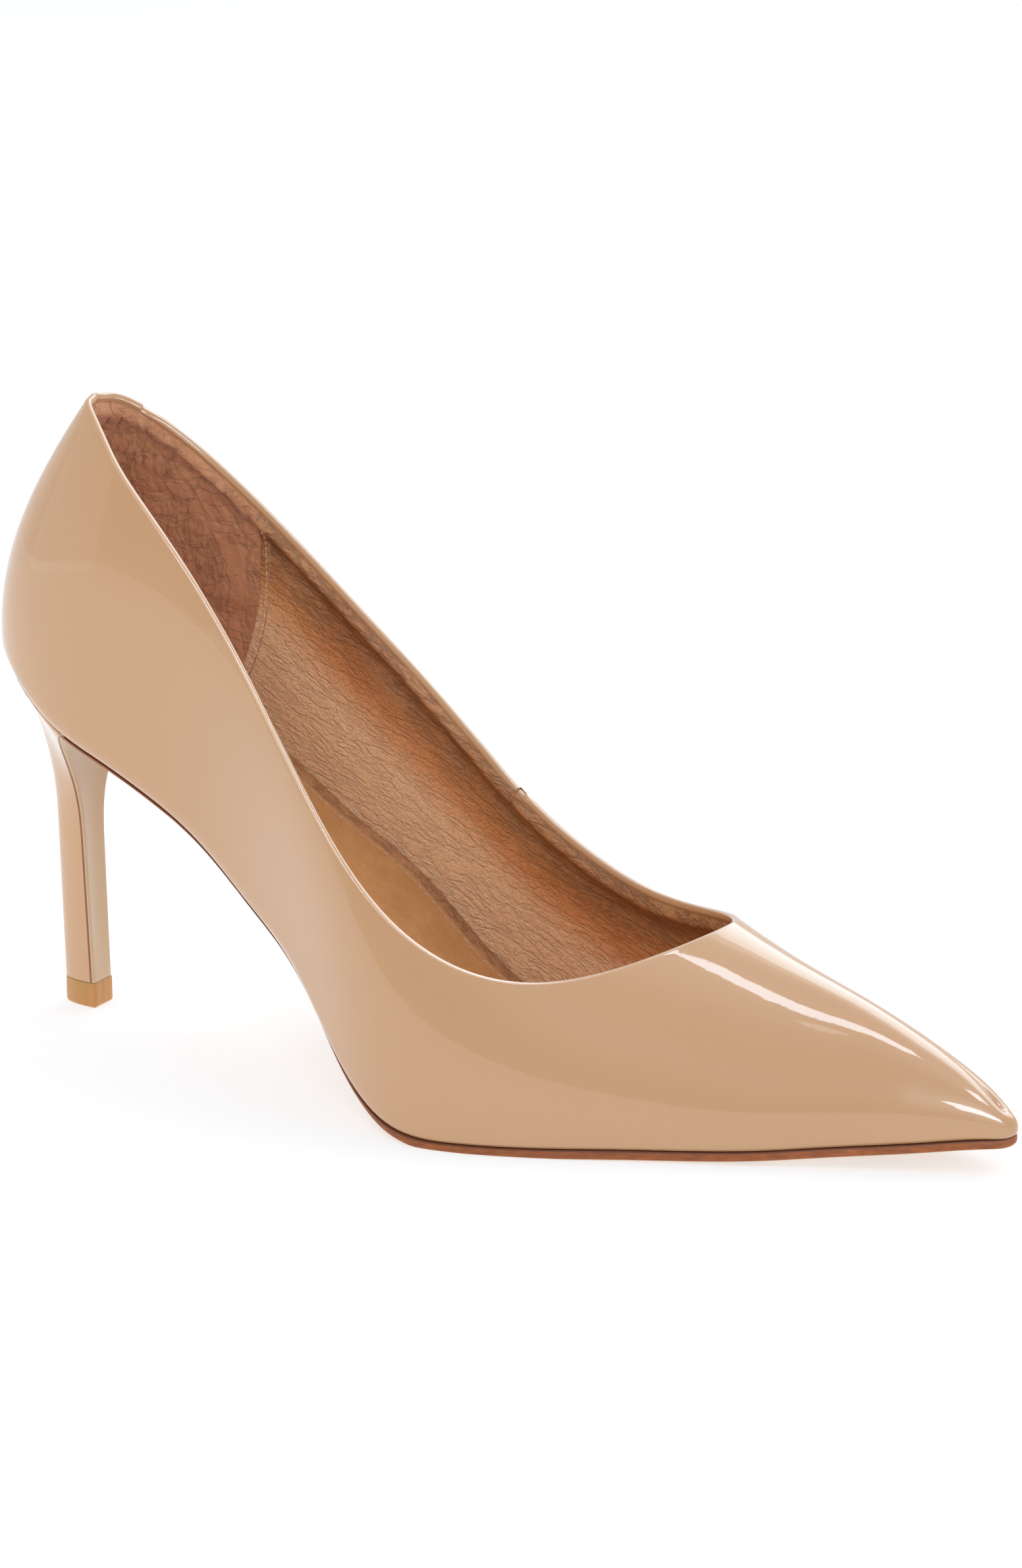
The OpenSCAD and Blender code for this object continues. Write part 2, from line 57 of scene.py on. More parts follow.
BULGE = ([3.2, 3.3, 3.2, 2.7, 2.8, 2.3, 1.2], [3.2, 2.9, 2.7, 2, 1.9, 2, 1.8])
TOP = ([142, 141.5, 139.5, 131, 111, 77, 46, 32], [142, 141.5, 141, 132, 109, 81, 53.5, 36.5])
TOP_LEAN = [1, 1, 1.05, 1.2, 1.35, 1.35, 1.15, 1]
RIDGE_RATE = 342.0
SHARED_ENDS, BULGE_REACH = 0.06, 11.0
HEEL_FAN_R, HEEL_FAN_LEN, NOSE_FAN_R, NOSE_FAN_LEN = 36.0, 105.5, 4.0, 50.0
QUARTER = math.pi / 2


def spline(c, s, flat0=True, flat1=True):
    """Uniform cubic B-spline through the control values c, for s from 0 to 1."""
    c, s = np.asarray(c, float), np.asarray(s, float)
    n = len(c) - 1
    first = c[1] if flat0 else 2 * c[0] - c[1]
    last = c[n - 1] if flat1 else 2 * c[n] - c[n - 1]
    c = np.concatenate([[first], c, [last]])
    t = np.clip(s, 0, 1) * n
    i = np.minimum(t.astype(int), n - 1)
    f = t - i
    return ((1 - f) ** 3 * c[i] + (3 * f ** 3 - 6 * f * f + 4) * c[i + 1]
            + (-3 * f ** 3 + 3 * f * f + 3 * f + 1) * c[i + 2] + f ** 3 * c[i + 3]) / 6


def x_of(s):
    """Place along the shoe of station s: stations are close together at both ends."""
    return X_BACK + LENGTH * (1 - np.cos(np.pi * np.asarray(s, float))) / 2


def s_of(x):
    return np.arccos(np.clip(1 - 2 * (np.asarray(x, float) - X_BACK) / LENGTH, -1, 1)) / np.pi


def spine(x):
    """Where the section through x starts on the middle line: sections fan out round the heel and the toe."""
    back = np.clip((x - X_BACK) / HEEL_FAN_LEN, 0, 1)
    nose = np.clip((X_TIP - x) / NOSE_FAN_LEN, 0, 1)
    return x + HEEL_FAN_R * (1 - back) ** 3 - NOSE_FAN_R * (1 - nose) ** 3


def sole_z(x):
    return spline(SOLE, s_of(x))


def half_w(side, s):
    return spline(HALF[side], s, False, False)


def skin(side, s, tau):
    """Point of the upper's outer face: side 0 is the outer one, s runs back to toe, tau up the wall."""
    x = x_of(s)
    c = spine(x)
    w = half_w(side, s) * (-1 if side == 0 else 1)
    dx = x - c
    reach = np.hypot(dx, w) + 1e-6
    g = np.cos(tau) * (1 + spline(FULL, s) * np.sin(tau) ** 2)
    shared = np.clip(1 - np.minimum(s, 1 - s) / SHARED_ENDS, 0, 1) ** 2
    own, other = spline(BULGE[side], s), spline(BULGE[1 - side], s)
    bulge = (own + (other - own) * shared / 2) * np.clip(reach / BULGE_REACH, 0, 1)
    out = g + bulge * np.sin(2 * tau) / reach
    z = spline(SOLE, s) + spline(HEIGHT, s) * np.sin(tau)
    return np.stack(np.broadcast_arrays(c + dx * out, MID_Y + w * out, z), -1)


def unit(v):
    return v / (np.linalg.norm(v, axis=-1, keepdims=True) + 1e-12)


def skin_normal(side, s, tau, nudge=2e-3):
    """Outward normal of the outer face, with no sideways part where the two sides meet."""
    s, tau = np.broadcast_arrays(np.asarray(s, float), np.asarray(tau, float))
    s0, s1 = np.clip(s - nudge, 0, 1), np.clip(s + nudge, 0, 1)
    du = skin(side, s1, tau) - skin(side, s0, tau)
    dv = skin(side, s, tau + nudge) - skin(side, s, tau - nudge)
    n = np.cross(du, dv) * (1 if side == 0 else -1)
    centre = (s < 1e-6) | (s > 1 - 1e-6)
    n[centre, 1] = 0
    return unit(n)


def throat_at(d):
    """Station where a line d millimetres below the top line crosses the vamp's ridge."""
    return THROAT + d / RIDGE_RATE


def tau_top(side, s, d):
    """Angle at which the wall meets a line d millimetres below the top line."""
    st = throat_at(d)
    ridge = spline(SOLE, st) + spline(HEIGHT, st)
    c = [t - d * k for t, k in zip(TOP[side], TOP_LEAN)] + [ridge]
    z = spline(c, np.clip(s / st, 0, 1), True, False)
    q = np.clip((z - spline(SOLE, s)) / spline(HEIGHT, s), 0, 1)
    return np.where(s >= st - 1e-9, QUARTER, np.arcsin(q))


def stations(d, quarter, vamp):
    """Stations from the back to the throat and on to the toe, densest before the throat."""
    t = np.linspace(0, 1, quarter)
    st = throat_at(d)
    back = st * np.sin(QUARTER * t)
    front = st + (1 - st) * np.linspace(0, 1, vamp)[1:] ** 0.9
    return np.concatenate([back, front])


# ------------------------------ mesh helpers
def build(name, verts, faces, material, merge=0.004, attr=None):
    """Smooth mesh object from points in millimetres, with points closer than merge joined."""
    mesh = bpy.data.meshes.new(name)
    mesh.from_pydata([tuple(v) for v in np.asarray(verts, float) * MM], [], faces)
    if attr is not None:
        for key, values in attr.items():
            layer = mesh.attributes.new(key, "FLOAT", "POINT")
            layer.data.foreach_set("value", np.asarray(values, np.float32))
    bm = bmesh.new()
    bm.from_mesh(mesh)
    bmesh.ops.remove_doubles(bm, verts=bm.verts, dist=merge * MM)
    bmesh.ops.dissolve_degenerate(bm, edges=bm.edges, dist=1e-7)
    bmesh.ops.recalc_face_normals(bm, faces=bm.faces)
    for f in bm.faces:
        f.smooth = True
    bm.to_mesh(mesh)
    bm.free()
    mesh.materials.append(material)
    obj = bpy.data.objects.new(name, mesh)
    bpy.context.scene.collection.objects.link(obj)
    return obj


class Grid:
    """Collects vertex grids and their quads for one mesh."""

    def __init__(self):
        self.verts, self.faces, self.attrs = [], [], []
        self.count = 0

    def add(self, points, flip=False, close=False, attr=0.0):
        points = np.asarray(points, float)
        n, m = points.shape[:2]
        base = self.count
        self.verts.append(points.reshape(-1, 3))
        self.attrs.append(np.broadcast_to(np.asarray(attr, float), (n, m)).reshape(-1))
        self.count += n * m
        for i in range(n if close else n - 1):
            for j in range(m - 1):
                a, b = base + i * m + j, base + ((i + 1) % n) * m + j
                quad = (a, b, b + 1, a + 1)
                self.faces.append(quad[::-1] if flip else quad)
        return self

    def build(self, name, material, merge=0.004):
        shade = {"shade": np.concatenate(self.attrs)}
        return build(name, np.concatenate(self.verts), self.faces, material, merge, shade)


def finish_piece(obj, slot_name, *nodes):
    """Attaches a piece to the root body in place of the named CAD nodes, which it hides."""
    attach(obj, "root")
    if nodes:
        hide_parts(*nodes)
    return obj


# ------------------------------ materials
def srgb(r, g, b):
    """Linear colour from screen values of 0 to 255."""
    def lin(c):
        c /= 255
        return c / 12.92 if c <= 0.04045 else ((c + 0.055) / 1.055) ** 2.4
    return (lin(r), lin(g), lin(b), 1)


class Mat:
    """A small wrapper that builds one procedural material."""

    def __init__(self, name, **values):
        self.m = bpy.data.materials.new(name)
        self.m.use_nodes = True
        self.t = self.m.node_tree
        self.p = self.t.nodes["Principled BSDF"]
        self.coord = self.t.nodes.new("ShaderNodeTexCoord").outputs["Object"]
        for key, value in values.items():
            self.p.inputs[key.replace("_", " ")].default_value = value
        self.height = None

    def node(self, kind, inputs=None, **props):
        n = self.t.nodes.new(kind)
        for key, value in props.items():
            setattr(n, key, value)
        for key, value in (inputs or {}).items():
            if isinstance(value, bpy.types.NodeSocket):
                self.t.links.new(value, n.inputs[key])
            else:
                n.inputs[key].default_value = value
        return n

    def stretched(self, scale, vector=None):
        return self.node("ShaderNodeMapping", {"Vector": vector or self.coord, "Scale": scale}).outputs[0]

    def turned(self, about_y):
        return self.node("ShaderNodeMapping", {"Vector": self.coord, "Rotation": (0, about_y, 0)}).outputs[0]

    def warped(self, vector, scale, amount):
        n = self.node("ShaderNodeTexNoise", {"Vector": self.coord, "Scale": scale, "Detail": 2.0})
        middle = {0: n.outputs["Color"], 1: (0.5, 0.5, 0.5)}
        shift = self.node("ShaderNodeVectorMath", middle, operation="SUBTRACT").outputs[0]
        shift = self.node("ShaderNodeVectorMath", {0: shift, "Scale": amount}, operation="SCALE").outputs[0]
        return self.node("ShaderNodeVectorMath", {0: vector, 1: shift}, operation="ADD").outputs[0]

    def ridges(self, scale, vector, detail=4.0, width=0.06):
        """Lines where a noise field crosses its middle value: 0 on a line, 1 away from it."""
        off = self.math("ABSOLUTE", self.math("SUBTRACT", self.noise(scale, detail, 0.55, vector), 0.5))
        return self.math("MINIMUM", self.math("DIVIDE", off, width), 1.0)

    def noise(self, scale, detail=3.0, rough=0.55, vector=None, distort=0.0):
        inputs = {"Vector": vector or self.coord, "Scale": scale, "Detail": detail}
        inputs.update({"Roughness": rough, "Distortion": distort})
        return self.node("ShaderNodeTexNoise", inputs).outputs["Fac"]

    def cells(self, scale, vector):
        """Distance to the nearest border between cells."""
        inputs = {"Vector": vector, "Scale": scale}
        n = self.node("ShaderNodeTexVoronoi", inputs, feature="DISTANCE_TO_EDGE")
        return n.outputs["Distance"]

    def ramp(self, fac, stops):
        n = self.node("ShaderNodeValToRGB", {"Fac": fac})
        els = n.color_ramp.elements
        while len(els) < len(stops):
            els.new(0.5)
        for el, (pos, col) in zip(els, stops):
            el.position = pos
            el.color = col if hasattr(col, "__len__") else (col, col, col, 1)
        return n.outputs["Color"]

    def mix(self, fac, a, b, blend="MIX"):
        n = self.node("ShaderNodeMix", data_type="RGBA", blend_type=blend)
        for key, value in (("Factor", fac), ("A", a), ("B", b)):
            sock = [s for s in n.inputs if s.name == key and (key == "Factor" or s.type == "RGBA")][0]
            if isinstance(value, bpy.types.NodeSocket):
                self.t.links.new(value, sock)
            else:
                sock.default_value = value
        return [s for s in n.outputs if s.type == "RGBA"][0]

    def math(self, op, a, b=0.0):
        return self.node("ShaderNodeMath", {0: a, 1: b}, operation=op).outputs[0]

    def attribute(self, key):
        return self.node("ShaderNodeAttribute", attribute_name=key).outputs["Fac"]

    def color(self, socket):
        self.t.links.new(socket, self.p.inputs["Base Color"])
        return self

    def set(self, key, socket):
        self.t.links.new(socket, self.p.inputs[key])
        return self

    def bump(self, height, strength, distance, target="Normal"):
        ins = {"Height": height, "Strength": strength, "Distance": distance}
        if self.height is not None and target == "Normal":
            ins["Normal"] = self.height
        out = self.node("ShaderNodeBump", ins).outputs[0]
        if target == "Normal":
            self.height = out
        self.t.links.new(out, self.p.inputs[target])
        return self


WHITE = (1, 1, 1, 1)
NUDE, NUDE_DEEP = (209, 162, 118), (206, 157, 112)
# Painted sheen: a pale colour mixed into the lining low down the wall.
PAINTED_PALE_SHEEN = (255, 220, 180)


def patent(name, tone=1.0):
    """Nude leather under a glossy lacquer, with a faint ripple in the lacquer and a fine grain below it."""
    light, deep = ([min(255, v * tone) for v in colour] for colour in (NUDE, NUDE_DEEP))
    m = Mat(name, Roughness=0.34, Coat_Weight=1.0, Coat_Roughness=0.025, Coat_IOR=1.5)
    m.color(m.mix(m.noise(18, 2), srgb(*light), srgb(*deep)))
    ripple = m.math("ADD", m.noise(210, 2, 0.5), m.math("MULTIPLY", m.noise(620, 3, 0.6), 0.35))
    m.bump(ripple, 0.10, 0.00016, "Coat Normal")
    m.bump(m.noise(900, 3), 0.12, 0.00006)
    return m.m


def painted_shade_by_depth(m, base, lines):
    """Painted shade, a painted pale sheen, crease lines and gloss by the shade attribute, which is the depth
    below the lining's top edge: the shade is darkest in the valley below the padded top edge and the sheen
    lies low down the wall.
    """
    depth = m.attribute("shade")
    share = m.ramp(depth, [(0.10, 1.0), (0.42, 0.25)])
    lines = m.mix(share, WHITE, lines)
    # Painted shade: the tone is darkest in the valley below the padded top edge and lighter further down the
    # wall.
    tone = m.ramp(depth, [(0.0, 0.62), (0.03, 0.66), (0.07, 0.52), (0.13, 0.46),
                          (0.26, 0.62), (0.42, 0.88), (0.6, 1.0)])
    base = m.mix(1.0, base, tone, "MULTIPLY")
    # Painted sheen: the lining turns pale low down the wall.
    base = m.mix(m.ramp(depth, [(0.42, 0.0), (0.66, 0.75)]), base, srgb(*PAINTED_PALE_SHEEN))
    m.set("Roughness", m.ramp(depth, [(0.0, 0.50), (0.3, 0.46), (0.8, 0.30)]))
    return base, lines


def lining_leather(name, light, dark, rough, depth_shading=True, along=-0.45):
    """Wrinkled leather with long creases turned by along, in radians about the Y axis."""
    m = Mat(name, Roughness=rough)
    mottle = m.ramp(m.noise(45, 4, 0.6), [(0.34, 0.0), (0.66, 1.0)])
    base = m.mix(mottle, srgb(*light), srgb(*dark))
    run = m.warped(m.turned(along), 110, 0.0022)
    long_lines = m.ridges(430, m.stretched((0.22, 0.7, 1.0), run), 4.0, 0.07)
    cross_lines = m.ridges(520, m.stretched((0.6, 0.7, 0.8), run), 3.0, 0.06)
    pebble = m.cells(1150, m.warped(m.stretched((0.55, 1, 1), m.turned(along)), 500, 0.0009))
    fine = m.cells(2300, m.warped(m.coord, 700, 0.0005))
    creases = m.math("MULTIPLY", long_lines, m.mix(0.55, WHITE, cross_lines))
    # Painted shade: the creases darken the colour along their lines, as well as being bumped.
    lines = m.ramp(creases, [(0.0, 0.60), (0.8, 1.0)])
    dots = m.ramp(pebble, [(0.0, 0.84), (0.14, 1.0)])
    # Painted shade and painted sheen by depth, on the linings but not the sock.
    if depth_shading:
        base, lines = painted_shade_by_depth(m, base, lines)
    m.color(m.mix(1.0, m.mix(0.9, base, lines, "MULTIPLY"), dots, "MULTIPLY"))
    m.bump(m.noise(150, 4, 0.6, run), 0.35, 0.0005)
    m.bump(creases, 0.7, 0.00035)
    m.bump(pebble, 0.6, 0.0002)
    m.bump(fine, 0.35, 0.00009)
    return m.m


def suede(name, light, dark, sheen, folds=0.0):
    """Napped leather, with folds darkened by painted shade and bumped where folds is above zero."""
    m = Mat(name, Roughness=0.9, Sheen_Weight=sheen, Sheen_Roughness=0.45)
    m.p.inputs["Specular IOR Level"].default_value = 0.2
    nap = m.ramp(m.noise(160, 5, 0.7, distort=0.6), [(0.30, 0.0), (0.72, 1.0)])
    base = m.mix(nap, srgb(*light), srgb(*dark))
    speck = m.ramp(m.noise(2600, 2), [(0.36, 0.78), (0.6, 1.0)])
    base = m.mix(0.6, base, speck, "MULTIPLY")
    if folds:
        upright = m.ridges(150, m.stretched((1.0, 1.0, 0.22), m.warped(m.coord, 80, 0.008)), 4.0, 0.07)
        level = m.ridges(170, m.stretched((0.35, 0.35, 1.3), m.warped(m.coord, 120, 0.005)), 5.0, 0.05)
        # Painted shade: the upright and level folds darken the colour along their lines.
        base = m.mix(0.85, base, m.ramp(upright, [(0.0, 0.84), (0.8, 1.0)]), "MULTIPLY")
        base = m.mix(0.85, base, m.ramp(level, [(0.0, 0.84), (0.7, 1.0)]), "MULTIPLY")
        m.bump(m.noise(110, 4, 0.6, m.stretched((1.0, 1.0, 0.35))), 0.8 * folds, 0.0016)
        m.bump(upright, 0.8 * folds, 0.0008)
        m.bump(level, 0.7 * folds, 0.0005)
    m.color(base)
    m.bump(m.noise(1900, 4, 0.7), 0.5, 0.00018)
    m.bump(m.noise(300, 3), 0.25, 0.0003)
    return m.m


def thread():
    m = Mat("stitch_thread", Roughness=0.7, Sheen_Weight=0.3)
    wave = m.node("ShaderNodeTexWave", {"Vector": m.coord, "Scale": 900.0, "Distortion": 1.0})
    twist = wave.outputs["Fac"]
    m.color(m.mix(twist, srgb(236, 208, 172), srgb(206, 166, 126)))
    m.bump(twist, 0.4, 0.0001)
    return m.m


def sole_leather():
    """Stained edge, a dark line along its top and a scuffed natural tread, by the shade attribute."""
    m = Mat("sole_leather", Roughness=0.5)
    a = m.attribute("shade")
    grain = m.noise(240, 5, 0.65, m.stretched((1, 1, 4)))
    stain = m.mix(m.ramp(grain, [(0.3, 0.0), (0.7, 1.0)]), srgb(176, 98, 44), srgb(132, 68, 28))
    scuffs = m.ramp(m.noise(60, 6, 0.6), [(0.35, 0.0), (0.65, 1.0)])
    tread = m.mix(scuffs, srgb(206, 160, 112), srgb(186, 138, 92))
    edge = m.mix(m.ramp(a, [(0.45, 1.0), (0.55, 0.0)]), stain, tread)
    dark = m.mix(m.ramp(a, [(0.86, 0.0), (0.95, 1.0)]), edge, srgb(112, 60, 32))
    m.color(dark)
    m.bump(grain, 0.35, 0.0002)
    m.bump(m.noise(1200, 3), 0.25, 0.0001)
    return m.m


def flap_leather():
    """Smooth tongue of the sole with a stained rim, by the shade attribute."""
    m = Mat("breast_flap_leather", Roughness=0.3, Coat_Weight=0.55, Coat_Roughness=0.12)
    a = m.attribute("shade")
    rim = m.ramp(a, [(0.78, 0.0), (0.92, 1.0)])
    tone = m.mix(m.noise(30, 3), srgb(214, 184, 148), srgb(206, 174, 136))
    stain = m.mix(m.noise(200, 4), srgb(168, 96, 48), srgb(118, 60, 28))
    m.color(m.mix(rim, tone, stain))
    m.bump(m.noise(700, 3), 0.15, 0.00008)
    return m.m


def lift_rubber():
    """Cloudy honey-coloured rubber with level bands."""
    m = Mat("top_lift_polyurethane", Roughness=0.36, Subsurface_Weight=0.5, Subsurface_Scale=0.004)
    bands = m.noise(420, 3, 0.6, m.stretched((1, 1, 0.04)))
    m.color(m.mix(m.ramp(bands, [(0.3, 0.0), (0.7, 1.0)]), srgb(208, 156, 94), srgb(196, 142, 78)))
    m.bump(bands, 0.2, 0.0001)
    return m.m


PATENT = patent("patent_leather")
HEEL_PATENT = patent("patent_heel", 1.03)
LINING = lining_leather("lining_leather_tan", (246, 178, 120), (230, 154, 98), 0.32)
SOCK = lining_leather("sock_leather", (212, 154, 108), (198, 140, 96), 0.5, depth_shading=False)
GRIP = suede("heel_grip_suede", (228, 168, 130), (206, 144, 106), 0.4, 0.6)
INSERT = suede("insert_suede", (224, 164, 104), (208, 146, 86), 0.3)
THREAD = thread()
SOLE_LEATHER = sole_leather()
FLAP = flap_leather()
LIFT = lift_rubber()

# ------------------------------ the upper
WALL_DROP, ROLL_R = 0.95, 0.95
FOLD_W, FOLD_STEPS, FOLD_TUCK = 3.6, 5, 0.5
QUARTER_COLUMNS, VAMP_COLUMNS, ROWS = 150, 64, 34
SEAM_BACK_S, SEAM_FRONT_S = 0.177, 0.4815
MARGIN, FOOT_ANGLES, FOOT_SINK = 6.0, (0.3, 0.6, 0.9, 1.2), 0.4
LAP_T, LAP_FOOT_ROWS, LAP_UNDER = 0.8, 8, 2
SHOULDERS, SHOULDER_W, SHOULDER_R, BETWEEN_R = (52, 128), 13, 1.6, 0.42

STATIONS = stations(WALL_DROP, QUARTER_COLUMNS, VAMP_COLUMNS)
BACK_LAP = int(np.argmin(abs(STATIONS - SEAM_BACK_S)))
FRONT_LAP = int(np.argmin(abs(STATIONS - SEAM_FRONT_S)))


def feather(side, s, inset, lift=0.0):
    """Point on the sole line, moved in along the section by inset."""
    p = skin(side, s, np.zeros_like(s))
    x = x_of(s)
    centre = np.stack([spine(x), np.full_like(x, MID_Y)], -1)
    d = p[..., :2] - centre
    r = np.linalg.norm(d, axis=-1, keepdims=True) + 1e-9
    inset = np.broadcast_to(np.asarray(inset, float), x.shape)[..., None]
    q = centre + d / r * np.maximum(r - inset, 0.35 * r)
    return np.stack([q[..., 0], q[..., 1], sole_z(q[..., 0]) + lift], -1)


def foot_radius(side, s):
    """Radius of the turn from wall to sole: soft at the heel and the waist, tight at ball and toe."""
    soft = 1 - np.clip((x_of(s) + 30) / 40, 0, 1)
    radius = 1.0 + 1.7 * soft
    return np.where(s < 0.5, radius, np.minimum(radius, 0.2 * half_w(side, s) + 0.15))


def wall(side, s, sink=None):
    """Outer face from the turned-under margin over the rounded foot up to the top line, sunk by sink."""
    top = tau_top(side, s, WALL_DROP)
    foot_r = foot_radius(side, s)
    foot = np.arcsin(np.clip(foot_r / spline(HEIGHT, s), 0, 0.4))
    tau = foot[:, None] + (top - foot)[:, None] * np.linspace(0, 1, ROWS)[None]
    sink = np.zeros_like(s) if sink is None else sink
    p = skin(side, s[:, None], tau) - skin_normal(side, s[:, None], tau) * sink[:, None, None]
    lift = sink * FOOT_SINK
    rows = [feather(side, s, MARGIN, lift), feather(side, s, foot_r + sink, lift)]
    for a in FOOT_ANGLES:
        inset, up = foot_r * (1 - math.sin(a)) + sink, foot_r * (1 - math.cos(a)) + lift
        rows.append(feather(side, s, inset, up))
    return np.concatenate([np.stack(rows, 1), p], 1)


def loop_frames(side, s):
    """Top-line points with their outward normal and the direction up out of the wall."""
    tau = tau_top(side, s, WALL_DROP)
    q, n = skin(side, s, tau), skin_normal(side, s, tau)
    t = np.gradient(q, axis=0) * (1 if side == 0 else -1)
    t[0] = np.array([0, -1.0, 0])
    if s[-1] >= throat_at(WALL_DROP) - 1e-6:
        t[-1] = np.array([0, 1.0, 0])
    t = unit(t)
    n = unit(n - (n * t).sum(-1, keepdims=True) * t)
    return q, n, unit(np.cross(n, t))


def roll_profile(count=24, fine=8):
    """Steps (inwards, up) over the top edge: a roll with two broad shoulders, 2 * ROLL_R across."""
    out, x, y = [(0.0, 0.0)], 0.0, 0.0
    step = math.pi / (count * fine)
    for k in range(count * fine):
        a = (k + 0.5) * step
        broad = sum(math.exp(-((math.degrees(a) - at) / SHOULDER_W) ** 2) for at in SHOULDERS)
        r = BETWEEN_R + SHOULDER_R * broad
        x += r * math.sin(a) * step
        y += r * math.cos(a) * step
        if k % fine == fine - 1:
            out.append((x, y))
    return [(2 * ROLL_R * px / x, 2 * ROLL_R * py / x) for px, py in out]


PROFILE = roll_profile()


def roll(side, s):
    """The turned edge: over the top, then down the inside as a flat margin with a tucked end."""
    q, n, o = loop_frames(side, s)
    rows = [q - n * inward + o * up for inward, up in PROFILE]
    for k in range(1, FOLD_STEPS + 1):
        d = WALL_DROP + (FOLD_W - WALL_DROP) * k / FOLD_STEPS
        sd = s * throat_at(d) / throat_at(WALL_DROP)
        tau = tau_top(side, sd, d)
        depth = 2 * ROLL_R - FOLD_TUCK * (k == FOLD_STEPS)
        rows.append(skin(side, sd, tau) - skin_normal(side, sd, tau) * depth)
    return np.stack(rows, 1)


def lapped_column(k):
    """Wall and turned edge of the inner side at station k, as one column of points."""
    return np.concatenate([wall(1, STATIONS[k:k + 1])[0], roll(1, STATIONS[k - 1:k + 1])[-1]])


def lap_edge(k, step):
    """Rounded cut edge of the lapped leather along station k, facing station k + step."""
    face = lapped_column(k)
    way = unit(lapped_column(k + step) - face)
    n = unit(np.cross(np.gradient(face, axis=0), way)) * (1 if step > 0 else -1)
    face, way, n = (column[LAP_FOOT_ROWS:] for column in (face, way, n))
    r = LAP_T * 0.5
    return np.stack([face + way * (r * math.sin(a)) - n * (r * (1 - math.cos(a)))
                     for a in np.linspace(0, math.pi, 6)], 0)


def vamp_and_outer_quarter():
    """The large cut piece: the whole outer side, and the inner side up to its two laps."""
    grid = Grid()
    grid.add(wall(0, STATIONS))
    grid.add(wall(1, STATIONS[FRONT_LAP:]), flip=True)
    grid.add(wall(1, STATIONS[:BACK_LAP + 1]), flip=True)
    grid.add(roll(0, STATIONS[:QUARTER_COLUMNS]))
    grid.add(roll(1, STATIONS[FRONT_LAP:QUARTER_COLUMNS]), flip=True)
    grid.add(roll(1, STATIONS[:BACK_LAP + 1]), flip=True)
    grid.add(lap_edge(BACK_LAP, 1))
    grid.add(lap_edge(FRONT_LAP, -1))
    finish_piece(grid.build("upper_vamp_and_outer_quarter", PATENT), "patent",
                 "vamp_and_outer_quarter", "topline_fold_outer", "topline_tape")


def inner_quarter():
    """The inner quarter, which runs on under both laps and is sunk there by the leather's thickness."""
    s = STATIONS[BACK_LAP - LAP_UNDER:FRONT_LAP + LAP_UNDER + 1]
    k = np.arange(len(s))
    near = np.minimum(abs(k - LAP_UNDER), abs(len(s) - 1 - LAP_UNDER - k))
    sink = LAP_T * 0.95 * np.clip(1 - (near - 1) / 4, 0, 1) + 0.02
    face, edge = wall(1, s, sink), roll(1, s)
    over = len(PROFILE)
    _, n, o = loop_frames(1, s)
    edge[:, :over] -= o[:, None] * (sink * 0.8)[:, None, None]
    edge[:, 0] = face[:, -1]
    edge[:, over:] += n[:, None] * (sink * 0.4)[:, None, None]
    grid = Grid().add(face, flip=True).add(edge, flip=True)
    finish_piece(grid.build("upper_inner_quarter", PATENT), "patent", "inner_quarter", "topline_fold_inner")


vamp_and_outer_quarter()
inner_quarter()

# ------------------------------ linings
LINING_TOP, LINING_D = 1.8, 3.1
SEAM_TOP, SEAM_SWEEP = 0.304, 0.045
SEAM_BUMP, SEAM_STRIP, FOOT_TAU = 0.6, 1.7, 0.02
PAD_RISE, PAD_DIP, EDGE_THIN = 0.55, 0.5, 0.95
DEEP = 40.0
LIN_ROWS, LIN_COLUMNS, OPEN_COLUMNS, CLOSED_COLUMNS = 72, 130, 60, 40
LIN_END, LIN_TOE = 0.4815, 0.985
FOLD_DEEP, WRINKLE_DEEP = 0.5, 0.28
GRIP_LIFT, GRIP_LAP, GRIP_TAU = 0.4, 0.006, 1.2
LIP_R = 0.4
UP = np.linspace(0, 1, LIN_ROWS)


def wrinkle(p):
    """Fine creases of the lining, in millimetres inwards."""
    out = np.zeros(p.shape[:2])
    for i, j in np.ndindex(*out.shape):
        q = Vector(p[i, j])
        a = noise.noise(Vector((q.x * 0.16, q.y * 0.05, q.z * 0.05)))
        b = noise.noise(Vector((q.x * 0.42 + q.z * 0.2, q.y * 0.2, q.z * 0.10)) + Vector((7, 3, 1)))
        c = noise.noise(q * 1.1)
        out[i, j] = 0.22 * a + 0.16 * (0.5 - abs(b)) + 0.05 * c
    return out


def suede_creases(p):
    """Upright folds under the heel grip's top edge and level wrinkles further down, in millimetres."""
    out = np.zeros(p.shape[:2])
    rows = np.linspace(0, 1, p.shape[1])
    for i, j in np.ndindex(*out.shape):
        x, y, z = p[i, j]
        up = noise.noise(Vector((x * 0.30 + z * 0.07, y * 0.30, z * 0.06)))
        fold = math.exp(-(up / 0.085) ** 2)
        flat = noise.noise(Vector((x * 0.09, y * 0.09 + 9, z * 0.42)))
        level = math.exp(-(flat / 0.10) ** 2)
        high = min(1, max(0, (rows[j] - 0.50) / 0.2)) * min(1, (1.03 - rows[j]) / 0.08)
        low = 1 - min(1, max(0, (rows[j] - 0.66) / 0.2))
        out[i, j] = FOLD_DEEP * fold * high + WRINKLE_DEEP * level * low
    return out


